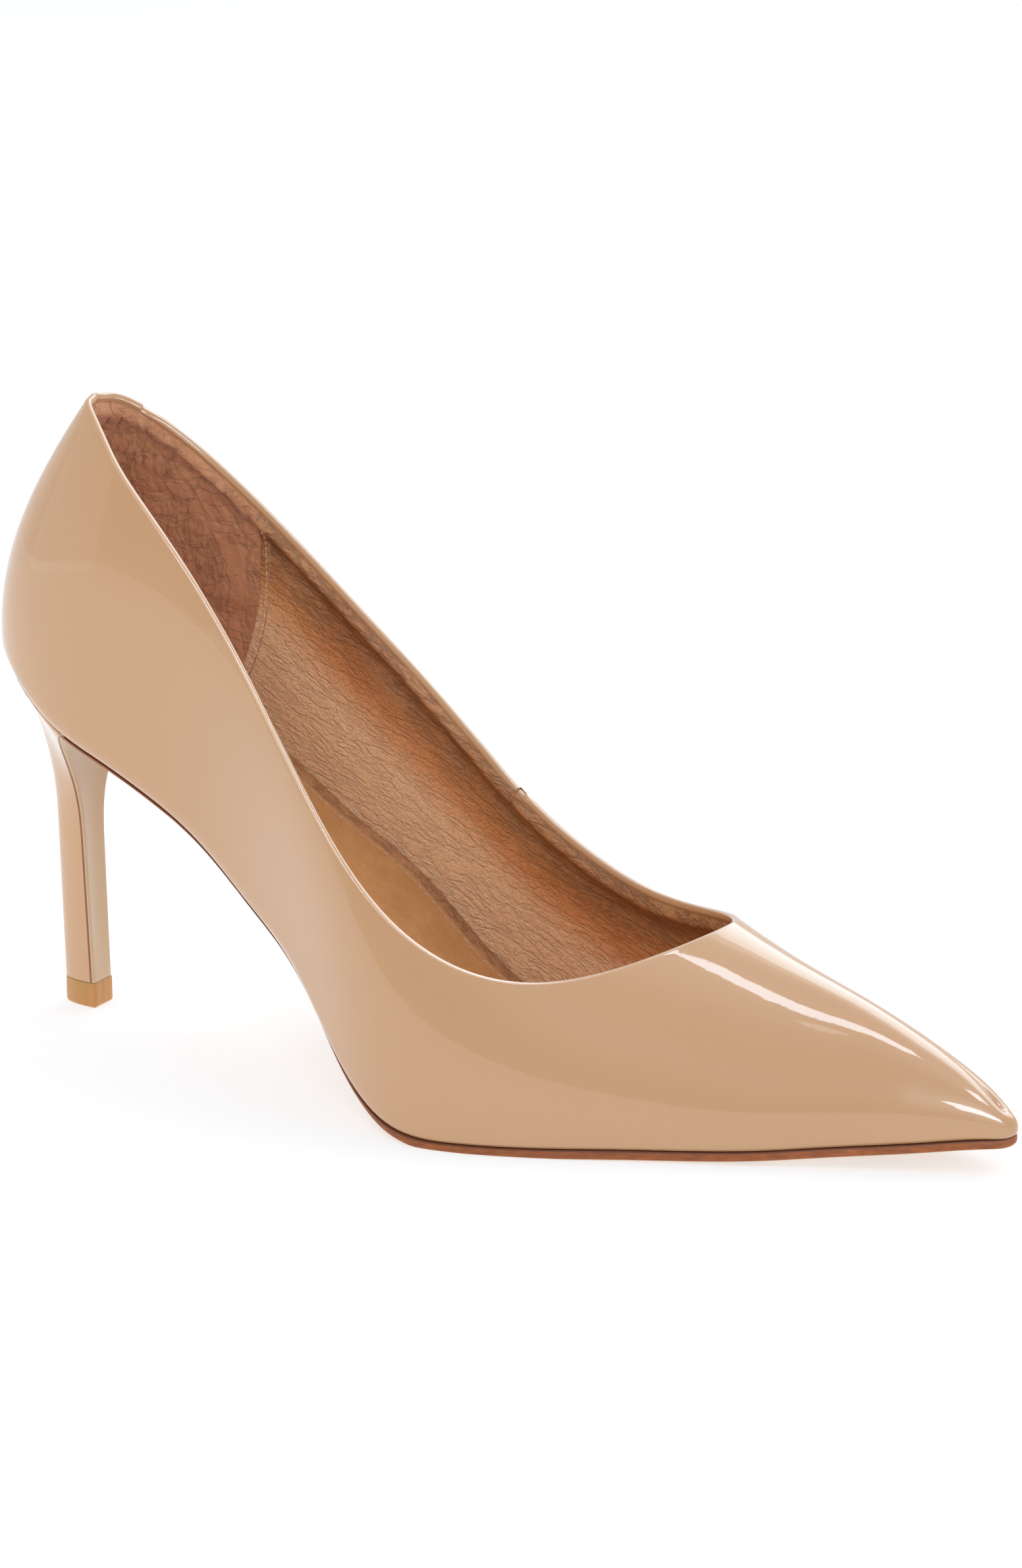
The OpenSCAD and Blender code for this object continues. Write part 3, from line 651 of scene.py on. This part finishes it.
def lining_wall(side, s, v, lift):
    """Inside face for stations s, v from the insole up: points, outward normals and depth over DEEP."""
    top = tau_top(side, s[:, -1], LINING_TOP)[:, None]
    tau = FOOT_TAU + (top - FOOT_TAU) * v[None]
    p = skin(side, s, tau)
    n = skin_normal(side, s, tau)
    step = np.linalg.norm(np.diff(p, axis=1), axis=-1)
    below = np.concatenate([np.cumsum(step[:, ::-1], axis=1)[:, ::-1], np.zeros((len(p), 1))], 1)
    edge = np.clip(1 - below / 2.2, 0, 1)
    pad = PAD_RISE * np.exp(-((below - 1.8) / 1.5) ** 2) - PAD_DIP * np.exp(-((below - 6.0) / 2.6) ** 2)
    room = np.where(s < 0.5, 1.0, np.clip(0.25 + half_w(side, s) / 14, 0.3, 1))
    thick = LINING_D * room - EDGE_THIN * edge ** 2 + pad
    return p - n * (thick + lift)[..., None], n, below / DEEP


def edge_roll(p, n, steps=5, r=0.42):
    """Rounded free edge beyond the last row of a wall grid p."""
    up = unit(p[:, -1] - p[:, -2])
    rows = []
    for k in range(1, steps + 1):
        a = math.pi * k / steps
        rows.append(p[:, -1] + n[:, -1] * (r * (1 - math.cos(a))) + up * (r * math.sin(a)))
    return np.stack(rows, 1)


def seam_s(v):
    """Station of the seam between heel grip and quarter lining, which leans back towards the sock."""
    return SEAM_TOP - SEAM_SWEEP * (1 - v) ** 2.6


def quarter_lift(side, s, v):
    """Creases of a quarter lining, with the folded strip that laps over the heel grip."""
    ahead = (s - seam_s(v)) * LENGTH * QUARTER * math.sin(math.pi * SEAM_TOP)
    lap = 1 / (1 + np.exp(np.clip((ahead - SEAM_STRIP) / 0.12, -40, 40)))
    return wrinkle(skin(side, s, v)) * (1 - 0.7 * lap) + SEAM_BUMP * lap


def lining_shares(power=1.0):
    """Shares along a lining and up it, as two grids of columns by rows."""
    return np.meshgrid(np.linspace(0, 1, LIN_COLUMNS) ** power, UP, indexing="ij")


def heel_grip():
    """Suede round the heel, both sides in one mesh that meets at the back."""
    grid = Grid()
    along, up = lining_shares()
    for side in (0, 1):
        s = along * (seam_s(up) + GRIP_LAP)
        base = skin(side, s, up * GRIP_TAU)
        lift = GRIP_LIFT + wrinkle(base) * 0.8 - suede_creases(base)
        p, n, _ = lining_wall(side, s, UP, lift)
        p = np.concatenate([p, edge_roll(p, n)], 1)
        if side == 0:
            back_line = p[0].copy()
        else:
            p[0] = (p[0] + back_line) / 2
        p[0, :, 1] = MID_Y
        grid.add(p, flip=bool(side))
    finish_piece(grid.build("heel_grip_lining", GRIP, merge=0.02), "grip", "heel_grip_lining")


def quarter_lining(side, label):
    """Quarter lining with a rounded top edge and a lip over the heel grip."""
    along, up = lining_shares(1.4)
    s = seam_s(up) + (LIN_END - seam_s(up)) * along
    p, n, deep = lining_wall(side, s, UP, quarter_lift(side, s, up))
    p = np.concatenate([p, edge_roll(p, n)], 1)
    added = p.shape[1] - n.shape[1]
    deep = np.pad(deep, ((0, 0), (0, added)), "edge")
    back = unit(p[0] - p[1])
    out = np.concatenate([n[0], np.repeat(n[0][-1:], added, 0)])
    lip = np.stack([p[0] + back * (LIP_R * math.sin(a)) + out * (LIP_R * (1 - math.cos(a)))
                    for a in np.linspace(0, math.pi, 6)], 0)
    grid = Grid().add(p, flip=bool(side), attr=deep)
    grid.add(lip, flip=not bool(side), attr=np.repeat(deep[:1], len(lip), 0))
    finish_piece(grid.build(f"{label}_quarter_lining", LINING), "lining", f"{label}_quarter_lining")


def vamp_lining():
    """Lining of the vamp, with a rounded free edge up to the throat and creases that fade out past it."""
    throat = throat_at(LINING_TOP)
    opening = LIN_END + (throat - LIN_END) * np.sin(QUARTER * np.linspace(0, 1, OPEN_COLUMNS))
    closed = throat + (LIN_TOE - throat) * np.linspace(0, 1, CLOSED_COLUMNS)[1:]
    column = np.concatenate([opening, closed])
    s = np.repeat(column[:, None], LIN_ROWS, 1)
    up = np.repeat(UP[None], len(column), 0)
    fade = np.clip((0.80 - s) / 0.2, 0, 1) * np.clip((1.0 - up) / 0.1, 0, 1)
    grid = Grid()
    for side in (0, 1):
        p, n, deep = lining_wall(side, s, UP, wrinkle(skin(side, s, up)) * fade)
        rim = edge_roll(p[:OPEN_COLUMNS], n[:OPEN_COLUMNS])
        grid.add(p, flip=bool(side), attr=np.clip(deep, 0.0, 1.0))
        grid.add(np.concatenate([p[:OPEN_COLUMNS, -1:], rim], 1), flip=bool(side))
    finish_piece(grid.build("vamp_lining", LINING, merge=0.02), "lining", "vamp_lining")


heel_grip()
quarter_lining(0, "outer")
quarter_lining(1, "inner")
vamp_lining()

# ------------------------------ sock and insert
INSIDE_D, BOARD_T, SOCK_T, INSERT_T = 2.8, 1.8, 0.8, 0.45
FOAM_BACK, FOAM_FRONT, FOAM_RUN = 2.2, 1.0, 110
EDGE_HEIGHT = INSIDE_D + BOARD_T + FOAM_BACK + SOCK_T - 1.0
SOCK_END, SOCK_COLUMNS, SOCK_ROWS = 0.90, 110, 40
INS_BACK, INS_FRONT, INS_SIDE, INS_CORNER = -74.0, 78.0, 5.2, 6.0
INS_COLUMNS, INS_ROWS, INS_CROWN, INS_GAP = 120, 26, 0.25, 0.05
# Steps (inwards, up) over the insert's cut edge, from inside the sock to the insert's top face.
INS_EDGE = ((0.0, -0.35), (0.0, 0.0), (0.15, 0.42), (0.5, INSERT_T))


def sock_top(x):
    """Height of the sock's top face; the foam under it is thick at the heel and thin from the waist on."""
    foam = FOAM_BACK + (FOAM_FRONT - FOAM_BACK) * np.clip((x - X_BACK) / FOAM_RUN, 0, 1)
    return sole_z(x) + INSIDE_D + BOARD_T + foam + SOCK_T


def sock_line(side, s):
    """Where the lining's inner face stands at the height of the sock's edge."""
    tau = np.arcsin(np.clip(EDGE_HEIGHT / spline(HEIGHT, s), 0, 0.98))
    return skin(side, s, tau) - skin_normal(side, s, tau) * (LINING_D - 0.25)


def sock_lining():
    """Padded sock: it swells a little inside its border and sinks at the very edge."""
    s = np.sin(QUARTER * np.linspace(0, 1, SOCK_COLUMNS)) * SOCK_END
    across = np.linspace(0, 1, SOCK_ROWS)
    rows = []
    for a, b in zip(sock_line(0, s), sock_line(1, s)):
        row = a[None] + (b - a)[None] * across[:, None]
        edge = np.minimum(across, 1 - across) * np.linalg.norm(b - a)
        swell = 0.35 * np.exp(-((edge - 3.5) / 2.5) ** 2)
        row[:, 2] = sock_top(row[:, 0]) - 0.9 * np.exp(-edge / 0.8) + swell
        rows.append(row)
    top = np.array(rows)
    under = top.copy()
    under[..., 2] -= SOCK_T
    grid = Grid().add(top).add(under, flip=True)
    sock = finish_piece(grid.build("sock_lining", SOCK, merge=0.02), "sock", "sock_lining")


def insert_edges():
    """Two edge lines of the insert, with a rounded rear end."""
    s = np.linspace(float(s_of(INS_BACK)), float(s_of(INS_FRONT)), INS_COLUMNS)
    a, b = sock_line(0, s), sock_line(1, s)
    w = np.linalg.norm(b - a, axis=1)
    run = x_of(s) - INS_BACK
    drop = np.sqrt(np.maximum(INS_CORNER ** 2 - (INS_CORNER - run) ** 2, 0))
    pinch = np.where(run < INS_CORNER, INS_CORNER - drop, 0)
    inset = (INS_SIDE + pinch) / w
    d = b - a
    return a + d * inset[:, None], b - d * inset[:, None]


def forepart_insert(outer, inner):
    """Suede insert between its two edge lines, slightly crowned, lying on the sock."""
    shares = np.linspace(0, 1, INS_ROWS)[1:-1]
    edge_in, edge_up = zip(*INS_EDGE)
    crown = [INSERT_T + INS_CROWN * math.sin(math.pi * t) for t in shares]
    rise = np.array([*edge_up, *crown, *edge_up[::-1]])
    rows = []
    for a, b in zip(outer, inner):
        d = (b - a) / np.linalg.norm(b - a)
        start, end = a + d * edge_in[-1], b - d * edge_in[-1]
        row = [a + d * e for e in edge_in]
        row += [start + (end - start) * t for t in shares]
        row += [b - d * e for e in edge_in[::-1]]
        row = np.array(row)
        row[:, 2] = sock_top(row[:, 0]) + rise + INS_GAP
        rows.append(row)
    grid = Grid().add(np.array(rows))
    finish_piece(grid.build("forepart_insert", INSERT, merge=0.01), "insert", "forepart_insert")


sock_lining()
INS_OUTER, INS_INNER = insert_edges()
forepart_insert(INS_OUTER, INS_INNER)

# ------------------------------ stitching
THREAD_SINK, THREAD_SIDES, THREAD_RINGS = 0.35, 8, 9
THREAD_TURN = [2 * math.pi * k / THREAD_SIDES for k in range(THREAD_SIDES)]


def along_line(at, run, values):
    return np.array([np.interp(at, run, values[:, i]) for i in range(3)])


def stitches(name, path, normals, length, pitch, radius):
    """Arched thread segments laid along a line of points."""
    run = np.concatenate([[0], np.cumsum(np.linalg.norm(np.diff(path, axis=0), axis=1))])
    verts, faces = [], []
    for k in range(int(run[-1] / pitch)):
        base = len(verts)
        for u in np.linspace(-1, 1, THREAD_RINGS):
            at = (k + 0.5) * pitch + u * length / 2
            p = along_line(at, run, path)
            n = unit(along_line(at, run, normals))
            t = unit(along_line(at + 0.1, run, path) - p + 1e-9)
            b = unit(np.cross(n, t))
            r = radius * math.sqrt(max(0.06, 1 - abs(u) ** 3))
            c = p + n * (radius * (1 - THREAD_SINK) - radius * 1.3 * abs(u) ** 3)
            verts += [c + (b * math.cos(w) + n * math.sin(w)) * r for w in THREAD_TURN]
        for i in range(THREAD_RINGS - 1):
            for j in range(THREAD_SIDES):
                here, beside = (base + i * THREAD_SIDES + m for m in (j, (j + 1) % THREAD_SIDES))
                faces.append((here, beside, beside + THREAD_SIDES, here + THREAD_SIDES))
        last = base + (THREAD_RINGS - 1) * THREAD_SIDES
        faces.append(tuple(range(base, base + THREAD_SIDES))[::-1])
        faces.append(tuple(range(last, last + THREAD_SIDES)))
    return finish_piece(build(name, verts, faces, THREAD, merge=0.0001), "thread")


def joined(name, objs, *nodes):
    """One piece out of several, standing for the named CAD nodes."""
    bpy.ops.object.select_all(action="DESELECT")
    for o in objs:
        o.select_set(True)
    bpy.context.view_layer.objects.active = objs[0]
    bpy.ops.object.join()
    objs[0].name = name
    if nodes:
        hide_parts(*nodes)


def grip_stitching():
    """A row of stitches down each closing seam of the heel grip."""
    lines = []
    for side in (0, 1):
        s = (seam_s(UP) + 0.0038)[None]
        p, n, _ = lining_wall(side, s, UP, quarter_lift(side, s, UP[None]))
        lines.append(stitches(f"grip_stitches_{side}", p[0, 8:-1], -n[0, 8:-1], 1.15, 1.45, 0.17))
    joined("heel_grip_stitching", lines, "heel_grip_stitching")


def insert_stitching():
    """A row of stitches along each side of the insert."""
    lines = []
    for edge, way, tag in ((INS_OUTER, 1, "a"), (INS_INNER, -1, "b")):
        p = edge + unit(INS_INNER - INS_OUTER) * way * 1.6
        p = p[p[:, 0] > INS_BACK + 3][4:]
        p[:, 2] = sock_top(p[:, 0]) + INSERT_T + 0.12
        up = np.repeat(np.array([[0.0, 0, 1]]), len(p), 0)
        lines.append(stitches(f"insert_stitches_{tag}", p, up, 1.6, 2.2, 0.16))
    joined("insert_stitching", lines, "insert_stitching")


def seam_stitching():
    """A row of stitches beside each lap of the inner quarter. The CAD has no node for it."""
    lines = []
    for k, step, tag in ((BACK_LAP, -1, "back"), (FRONT_LAP, 1, "front")):
        lap = STATIONS[k]
        s = np.full(ROWS * 2, lap + step * 1.8 / (LENGTH * QUARTER * math.sin(math.pi * lap)))
        top = float(tau_top(1, s[:1], WALL_DROP)[0])
        tau = np.linspace(0.06, top - 0.03, len(s))
        n = skin_normal(1, s, tau)
        lines.append(stitches(f"seam_stitches_{tag}", skin(1, s, tau) + n * 0.02, n, 1.3, 1.75, 0.16))
    joined("inner_seam_stitching", lines)


grip_stitching()
insert_stitching()
seam_stitching()

# ------------------------------ outsole
WAIST_EDGE, SOLE_EDGE, SOLE_T, WAIST_T, WAIST_BEVEL = 1.7, 0.3, 2.0, 1.4, 2.4
BREAST_X, BREAST_FORWARD = X_BACK + 19.7, 5.5
SOLE_TUCK, SOLE_END, SOLE_COLUMNS, EDGE_WOBBLE = 5.0, 0.9985, 220, 0.06
# Inset in millimetres, share of the thickness and shade, from the tread round the edge to the top face.
EDGE_PROFILE = ((9.0, 0.0, 0.0), (0.5, 0.0, 0.3), (0.12, 0.14, 0.55), (0.0, 0.45, 0.7),
                (0.02, 0.80, 0.8), (0.05, 0.93, 1.0), (0.2, 1.0, 1.0), (3.0, 1.0, 1.0))


def waist(x):
    """1 behind the ball, where the sole is narrow and thin, and 0 from the ball on."""
    return 1 - np.clip((x + 25) / 33, 0, 1)


def tread_z(x):
    return np.maximum(0, sole_z(x) - (SOLE_T + (WAIST_T - SOLE_T) * waist(x)))


def sole_section(s):
    """One section of the outsole: down the outer edge, across the tread and up the inner edge."""
    x = float(x_of(s))
    narrow = float(waist(x))
    inset = WAIST_EDGE * narrow - SOLE_EDGE * min(1, (X_TIP - x) / 8)
    wobble = EDGE_WOBBLE * noise.noise(Vector((x * 0.25, 0.0, 3.0)))
    halves = []
    for side in (0, 1):
        half = []
        for e, up, _ in EDGE_PROFILE:
            bevel = WAIST_BEVEL * narrow * max(0, 0.6 - up)
            q = feather(side, np.array([s]), inset + e + bevel + wobble)[0]
            low, top = float(tread_z(q[0])), float(sole_z(q[0]))
            half.append([q[0], q[1], low + (top - low) * up])
        halves.append(np.array(half))
    outer, inner = halves
    across = [outer[0] + (inner[0] - outer[0]) * t for t in (0.25, 0.5, 0.75)]
    return np.concatenate([outer[::-1], across, inner])


def outsole():
    start = float(s_of(BREAST_X + BREAST_FORWARD - SOLE_TUCK))
    rows = np.array([sole_section(s) for s in np.linspace(start, SOLE_END, SOLE_COLUMNS)])
    edge = [shade for _, _, shade in EDGE_PROFILE]
    shade = edge[::-1] + [0.0, 0.0, 0.0] + edge
    tip = rows[-1]
    cap = np.stack([tip, np.repeat(tip.mean(0)[None], len(tip), 0)], 0)
    grid = Grid().add(rows, attr=shade).add(cap, attr=shade)
    finish_piece(grid.build("outsole", SOLE_LEATHER, merge=0.01), "sole", "outsole")


outsole()

# ------------------------------ heel
TIP_X = X_BACK + 21.4
STEM_LOW, STEM_MID, STEM_LEN, LIFT_H = 7.0, 8.0, 8.8, 6.0
RIM_IN, RIM_UP, RIM_SWELL, RIM_FADE = 1.1, 1.1, 1.4, 0.07
FLAP_T, FLAP_OVER, FLAP_HOLLOW, FLAP_STAIN, FLAP_TUCK = 0.95, 0.05, 0.6, 0.22, 0.25
FLAP_U = (0, 0, 0, 0.012, 0.03, 0.06, 0.12, 0.22, 0.36, 0.5, 0.64, 0.78, 0.88, 0.94, 0.97, 0.988, 1, 1, 1)
HEEL_ROWS, HEEL_COLUMNS, FRONT_COLUMNS = 70, 34, 9
LIFT_FRONT = TIP_X + 1.0
# Inset and height of the top lift's rings, from the worn face on the floor to the face under the stem.
LIFT_RINGS = ((2.4, 0.0), (0.7, 0.0), (0.25, 0.12), (0.05, 0.4), (0.0, 0.9),
              (0.0, 3.0), (0.0, 5.3), (0.05, 5.75), (0.25, 5.95), (1.5, 6.0))
# Round the heel from the outer breast corner over the back (0) to the inner one: share and side.
HEEL_ARC = [(1 - k / HEEL_COLUMNS, 0) for k in range(HEEL_COLUMNS)]
HEEL_ARC += [(k / HEEL_COLUMNS, 1) for k in range(HEEL_COLUMNS + 1)]
HEEL_H = np.linspace(0, 1, HEEL_ROWS) ** 1.7


def heel_rim(t, side, h):
    """Seat line from the back (t = 0) to the breast corner (t = 1), swollen out below the very rim."""
    s = float(s_of(BREAST_X + BREAST_FORWARD)) * t
    p = feather(side, np.array([s]), RIM_IN - RIM_SWELL * math.sin(math.pi * min(0.5, h / RIM_FADE)))[0]
    return p[0], p[1]


def stem(t, side, h):
    """The same line on the slim stem, at the share h of the way down."""
    phi = QUARTER * t * (1 if side else -1)
    front = BREAST_X + (TIP_X - BREAST_X) * min(1, max(0, (h - 0.2) / 0.8))
    w = STEM_MID + (STEM_LOW - STEM_MID) * min(1, max(0, (h - 0.4) / 0.6))
    return front - STEM_LEN * math.cos(phi), MID_Y + w / 2 * math.sin(phi)


def heel_point(t, side, h):
    """The heel flares from the stem to the seat line over its upper half, nearer the seat at the breast."""
    flare = max(0, 1 - h / 0.5) ** 2
    rx, ry = heel_rim(t, side, h)
    sx, sy = stem(t, side, h)
    x = sx + (rx - sx) * flare ** (1.05 + 2.45 * t ** 3)
    y = sy + (ry - sy) * flare ** (1.0 + 0.45 * t ** 3)
    z0 = float(sole_z(rx)) + RIM_UP
    return np.array([x, y, z0 + (LIFT_H - z0) * h])


def heel_cover():
    shell = np.array([[heel_point(t, side, h) for t, side in HEEL_ARC] for h in HEEL_H])
    grid = Grid().add(shell)
    finish_piece(grid.build("heel_cover", HEEL_PATENT, merge=0.003), "heel_patent", "heel_cover")


def breast_flap():
    """Tongue of the sole down the breast: hollow across, with stained cut edges that turn in."""
    rows, shade = [], []
    for h in HEEL_H:
        a, b = heel_point(1, 0, h), heel_point(1, 1, h)
        width = abs(b[1] - a[1])
        row, stained = [], []
        for k, u in enumerate(FLAP_U):
            from_end = min(k, len(FLAP_U) - 1 - k)
            round_off = math.exp(-min(u, 1 - u) * width / 0.2)
            hollow = FLAP_HOLLOW * math.sin(math.pi * u) * min(1, (1 - h) * 4 + 0.15)
            front = FLAP_T * (1 - 0.35 * round_off) - hollow
            forward = (-FLAP_TUCK, FLAP_STAIN, front)[min(from_end, 2)]
            row.append([a[0] + forward, a[1] - FLAP_OVER + (b[1] - a[1] + 2 * FLAP_OVER) * u, a[2]])
            stained.append(1.0 if from_end < 2 else 0.0)
        rows.append(row)
        shade.append(stained)
    grid = Grid().add(np.array(rows), attr=np.array(shade))
    finish_piece(grid.build("heel_breast_flap", FLAP, merge=0.001), "flap", "heel_breast_flap")


def top_lift():
    outline = [stem(t, side, 1.0) for t, side in HEEL_ARC]
    outline += [(LIFT_FRONT, MID_Y + y) for y in np.linspace(STEM_LOW / 2, -STEM_LOW / 2, FRONT_COLUMNS)]
    outline = np.array(outline)
    centre = outline.mean(0)
    d = outline - centre
    r = np.linalg.norm(d, axis=1, keepdims=True)
    rings = [np.column_stack([centre + d / r * (r - inset), np.full(len(d), z)]) for inset, z in LIFT_RINGS]
    rings = np.array(rings).transpose(1, 0, 2)
    low = rings[:, 0]
    grid = Grid().add(rings, close=True)
    grid.add(np.stack([np.repeat(low.mean(0)[None], len(low), 0), low], 1), close=True)
    finish_piece(grid.build("top_lift", LIFT, merge=0.001), "tip_rubber", "top_lift")


heel_cover()
breast_flap()
top_lift()

# ------------------------------ finishes of the CAD parts inside
HIDDEN = {
    "heel_counter": ((186, 148, 112), 0.8, 0.0), "upper_backing": ((226, 218, 200), 0.9, 0.0),
    "toe_puff": ((214, 204, 180), 0.6, 0.0), "insole_board": ((166, 128, 92), 0.85, 0.0),
    "ball_filler": ((176, 134, 86), 0.9, 0.0), "cushion_foam": ((236, 226, 180), 0.9, 0.0),
    "heel_block": ((204, 162, 126), 0.4, 0.0), "shank": ((160, 162, 166), 0.35, 1.0),
    "shank_rivets": ((176, 176, 178), 0.3, 1.0), "heel_core_tube": ((160, 162, 166), 0.35, 1.0),
    "top_lift_pin": ((176, 176, 178), 0.3, 1.0), "heel_screw": ((170, 170, 172), 0.3, 1.0),
    "heel_nails": ((150, 150, 152), 0.4, 1.0), "topline_tape": ((232, 228, 220), 0.9, 0.0),
}


def finish_hidden(node, rgb, rough, metal, darker=0.82):
    """A mottled finish of its own on every material slot of one CAD node."""
    m = Mat(f"finish_{node}", Roughness=rough, Metallic=metal)
    m.color(m.mix(m.noise(120, 4, 0.6), srgb(*rgb), srgb(*(v * darker for v in rgb))))
    m.bump(m.noise(900, 4), 0.3, 0.0001)
    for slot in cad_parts[node].material_slots:
        slot.material = m.m


for node, finish in HIDDEN.items():
    finish_hidden(node, *finish)

# ------------------------------ floor, light, camera
scene = bpy.context.scene
FLOOR_SIZE, FLOOR_COLOUR, FLOOR_GLOW = 14, (0.494, 0.5148, 0.5408, 1), 0.595
SKY_COLOUR, SKY_FROM, SKY_TO = (0.965, 0.985, 1.0, 1), (-0.35, 0.42), (0.25, 0.92)
COOL, ICE, BLUE = (0.955, 0.98, 1.0), (0.76, 0.92, 1.08), (0.66, 0.92, 1.1)
VAMP, TOE = (0.085, 0.0, 0.03), (0.115, 0.003, 0.014)
HEEL, INSIDE = (-0.06, -0.01, 0.08), (0.0, 0.01, 0.06)
CAMERA_AZ, CAMERA_EL, CAMERA_DIST, CAMERA_LENS = 28.85, 16.07, 1.00454, 108.44
CAMERA_TARGET = (0.00488, MID_Y * MM, 0.06667)


def studio_floor():
    """Pale matt floor with a faint glow, so that it stays near white."""
    bpy.ops.mesh.primitive_plane_add(size=1)
    floor = bpy.context.object
    floor.name = "studio_floor"
    floor.scale = (FLOOR_SIZE, FLOOR_SIZE, 1)
    m = Mat("studio_floor", Roughness=1.0, Emission_Strength=FLOOR_GLOW)
    m.p.inputs["Base Color"].default_value = FLOOR_COLOUR
    m.p.inputs["Specular IOR Level"].default_value = 0.0
    m.p.inputs["Emission Color"].default_value = WHITE
    floor.data.materials.append(m.m)


def studio_sky():
    """Soft even light that is dimmer on the camera's side than behind the shoe."""
    world = bpy.data.worlds.new("studio")
    scene.world = world
    world.use_nodes = True
    tree = world.node_tree
    background = tree.nodes["Background"]
    background.inputs["Color"].default_value = SKY_COLOUR
    coord = tree.nodes.new("ShaderNodeTexCoord")
    split = tree.nodes.new("ShaderNodeSeparateXYZ")
    fade = tree.nodes.new("ShaderNodeMapRange")
    fade.interpolation_type = "SMOOTHSTEP"
    for end, (place, strength) in (("Min", SKY_FROM), ("Max", SKY_TO)):
        fade.inputs[f"From {end}"].default_value = place
        fade.inputs[f"To {end}"].default_value = strength
    tree.links.new(coord.outputs["Generated"], split.inputs[0])
    tree.links.new(split.outputs["Y"], fade.inputs["Value"])
    tree.links.new(fade.outputs["Result"], background.inputs["Strength"])


def toward(origin, azimuth, elevation, distance):
    """Point at a distance from origin: azimuth 0 is on the outer side and 90 ahead of the toe."""
    a, e = math.radians(azimuth), math.radians(elevation)
    d = Vector((math.sin(a) * math.cos(e), -math.cos(a) * math.cos(e), math.sin(e)))
    return Vector(origin) + d * distance


def lamp(name, size, origin, azimuth, elevation, distance, radiance, rgb=COOL):
    """Softbox seen from origin in a given direction, its first side level."""
    data = bpy.data.lights.new(name, "AREA")
    data.shape = "RECTANGLE"
    data.size, data.size_y = size
    data.energy = radiance * math.pi * size[0] * size[1]
    data.color = rgb
    o = bpy.data.objects.new(name, data)
    scene.collection.objects.link(o)
    o.visible_camera = False
    o.location = toward(origin, azimuth, elevation, distance)
    back = (o.location - Vector(origin)).normalized()
    level = Vector((math.cos(math.radians(azimuth)), math.sin(math.radians(azimuth)), 0))
    o.rotation_mode = "QUATERNION"
    o.rotation_quaternion = Matrix((level, back.cross(level), back)).transposed().to_quaternion()
    return o


def studio_lamps():
    """Three softboxes and a fill light the shoe; four more are only seen as highlights in the patent."""
    lamp("left_panel", (1.6, 1.4), HEEL, -62, 14, 2.4, 0.35)
    lamp("front_softbox", (1.3, 0.7), INSIDE, -12, 58, 1.9, 2.2)
    lamp("far_softbox", (2.4, 1.6), VAMP, 165, 55, 2.2, 0.9)
    lamp("key_fill", (1.4, 1.0), INSIDE, 20, 36, 2.2, 1.5).visible_glossy = False
    for strip in (lamp("strip_softbox", (0.42, 0.13), VAMP, 43, 71, 1.5, 10.5, ICE),
                  lamp("toe_softbox", (0.2, 0.06), TOE, 42, 22, 0.35, 13.0, ICE),
                  lamp("edge_softbox", (0.4, 0.22), INSIDE, 68, 48, 1.6, 12.0, ICE),
                  lamp("back_panel", (2.6, 1.5), VAMP, 168, 50, 2.2, 3.2, BLUE)):
        strip.visible_diffuse = False


def studio_camera():
    """The photograph's camera."""
    data = bpy.data.cameras.new("camera")
    data.sensor_width = 36
    data.lens = CAMERA_LENS
    data.clip_start, data.clip_end = 0.01, 50
    camera = bpy.data.objects.new("camera", data)
    scene.collection.objects.link(camera)
    scene.camera = camera
    target = Vector(CAMERA_TARGET)
    camera.location = toward(target, CAMERA_AZ, CAMERA_EL, CAMERA_DIST)
    camera.rotation_mode = "QUATERNION"
    camera.rotation_quaternion = (target - camera.location).to_track_quat("-Z", "Y")


studio_floor()
studio_sky()
studio_lamps()
studio_camera()
scene.view_settings.view_transform = "Standard"
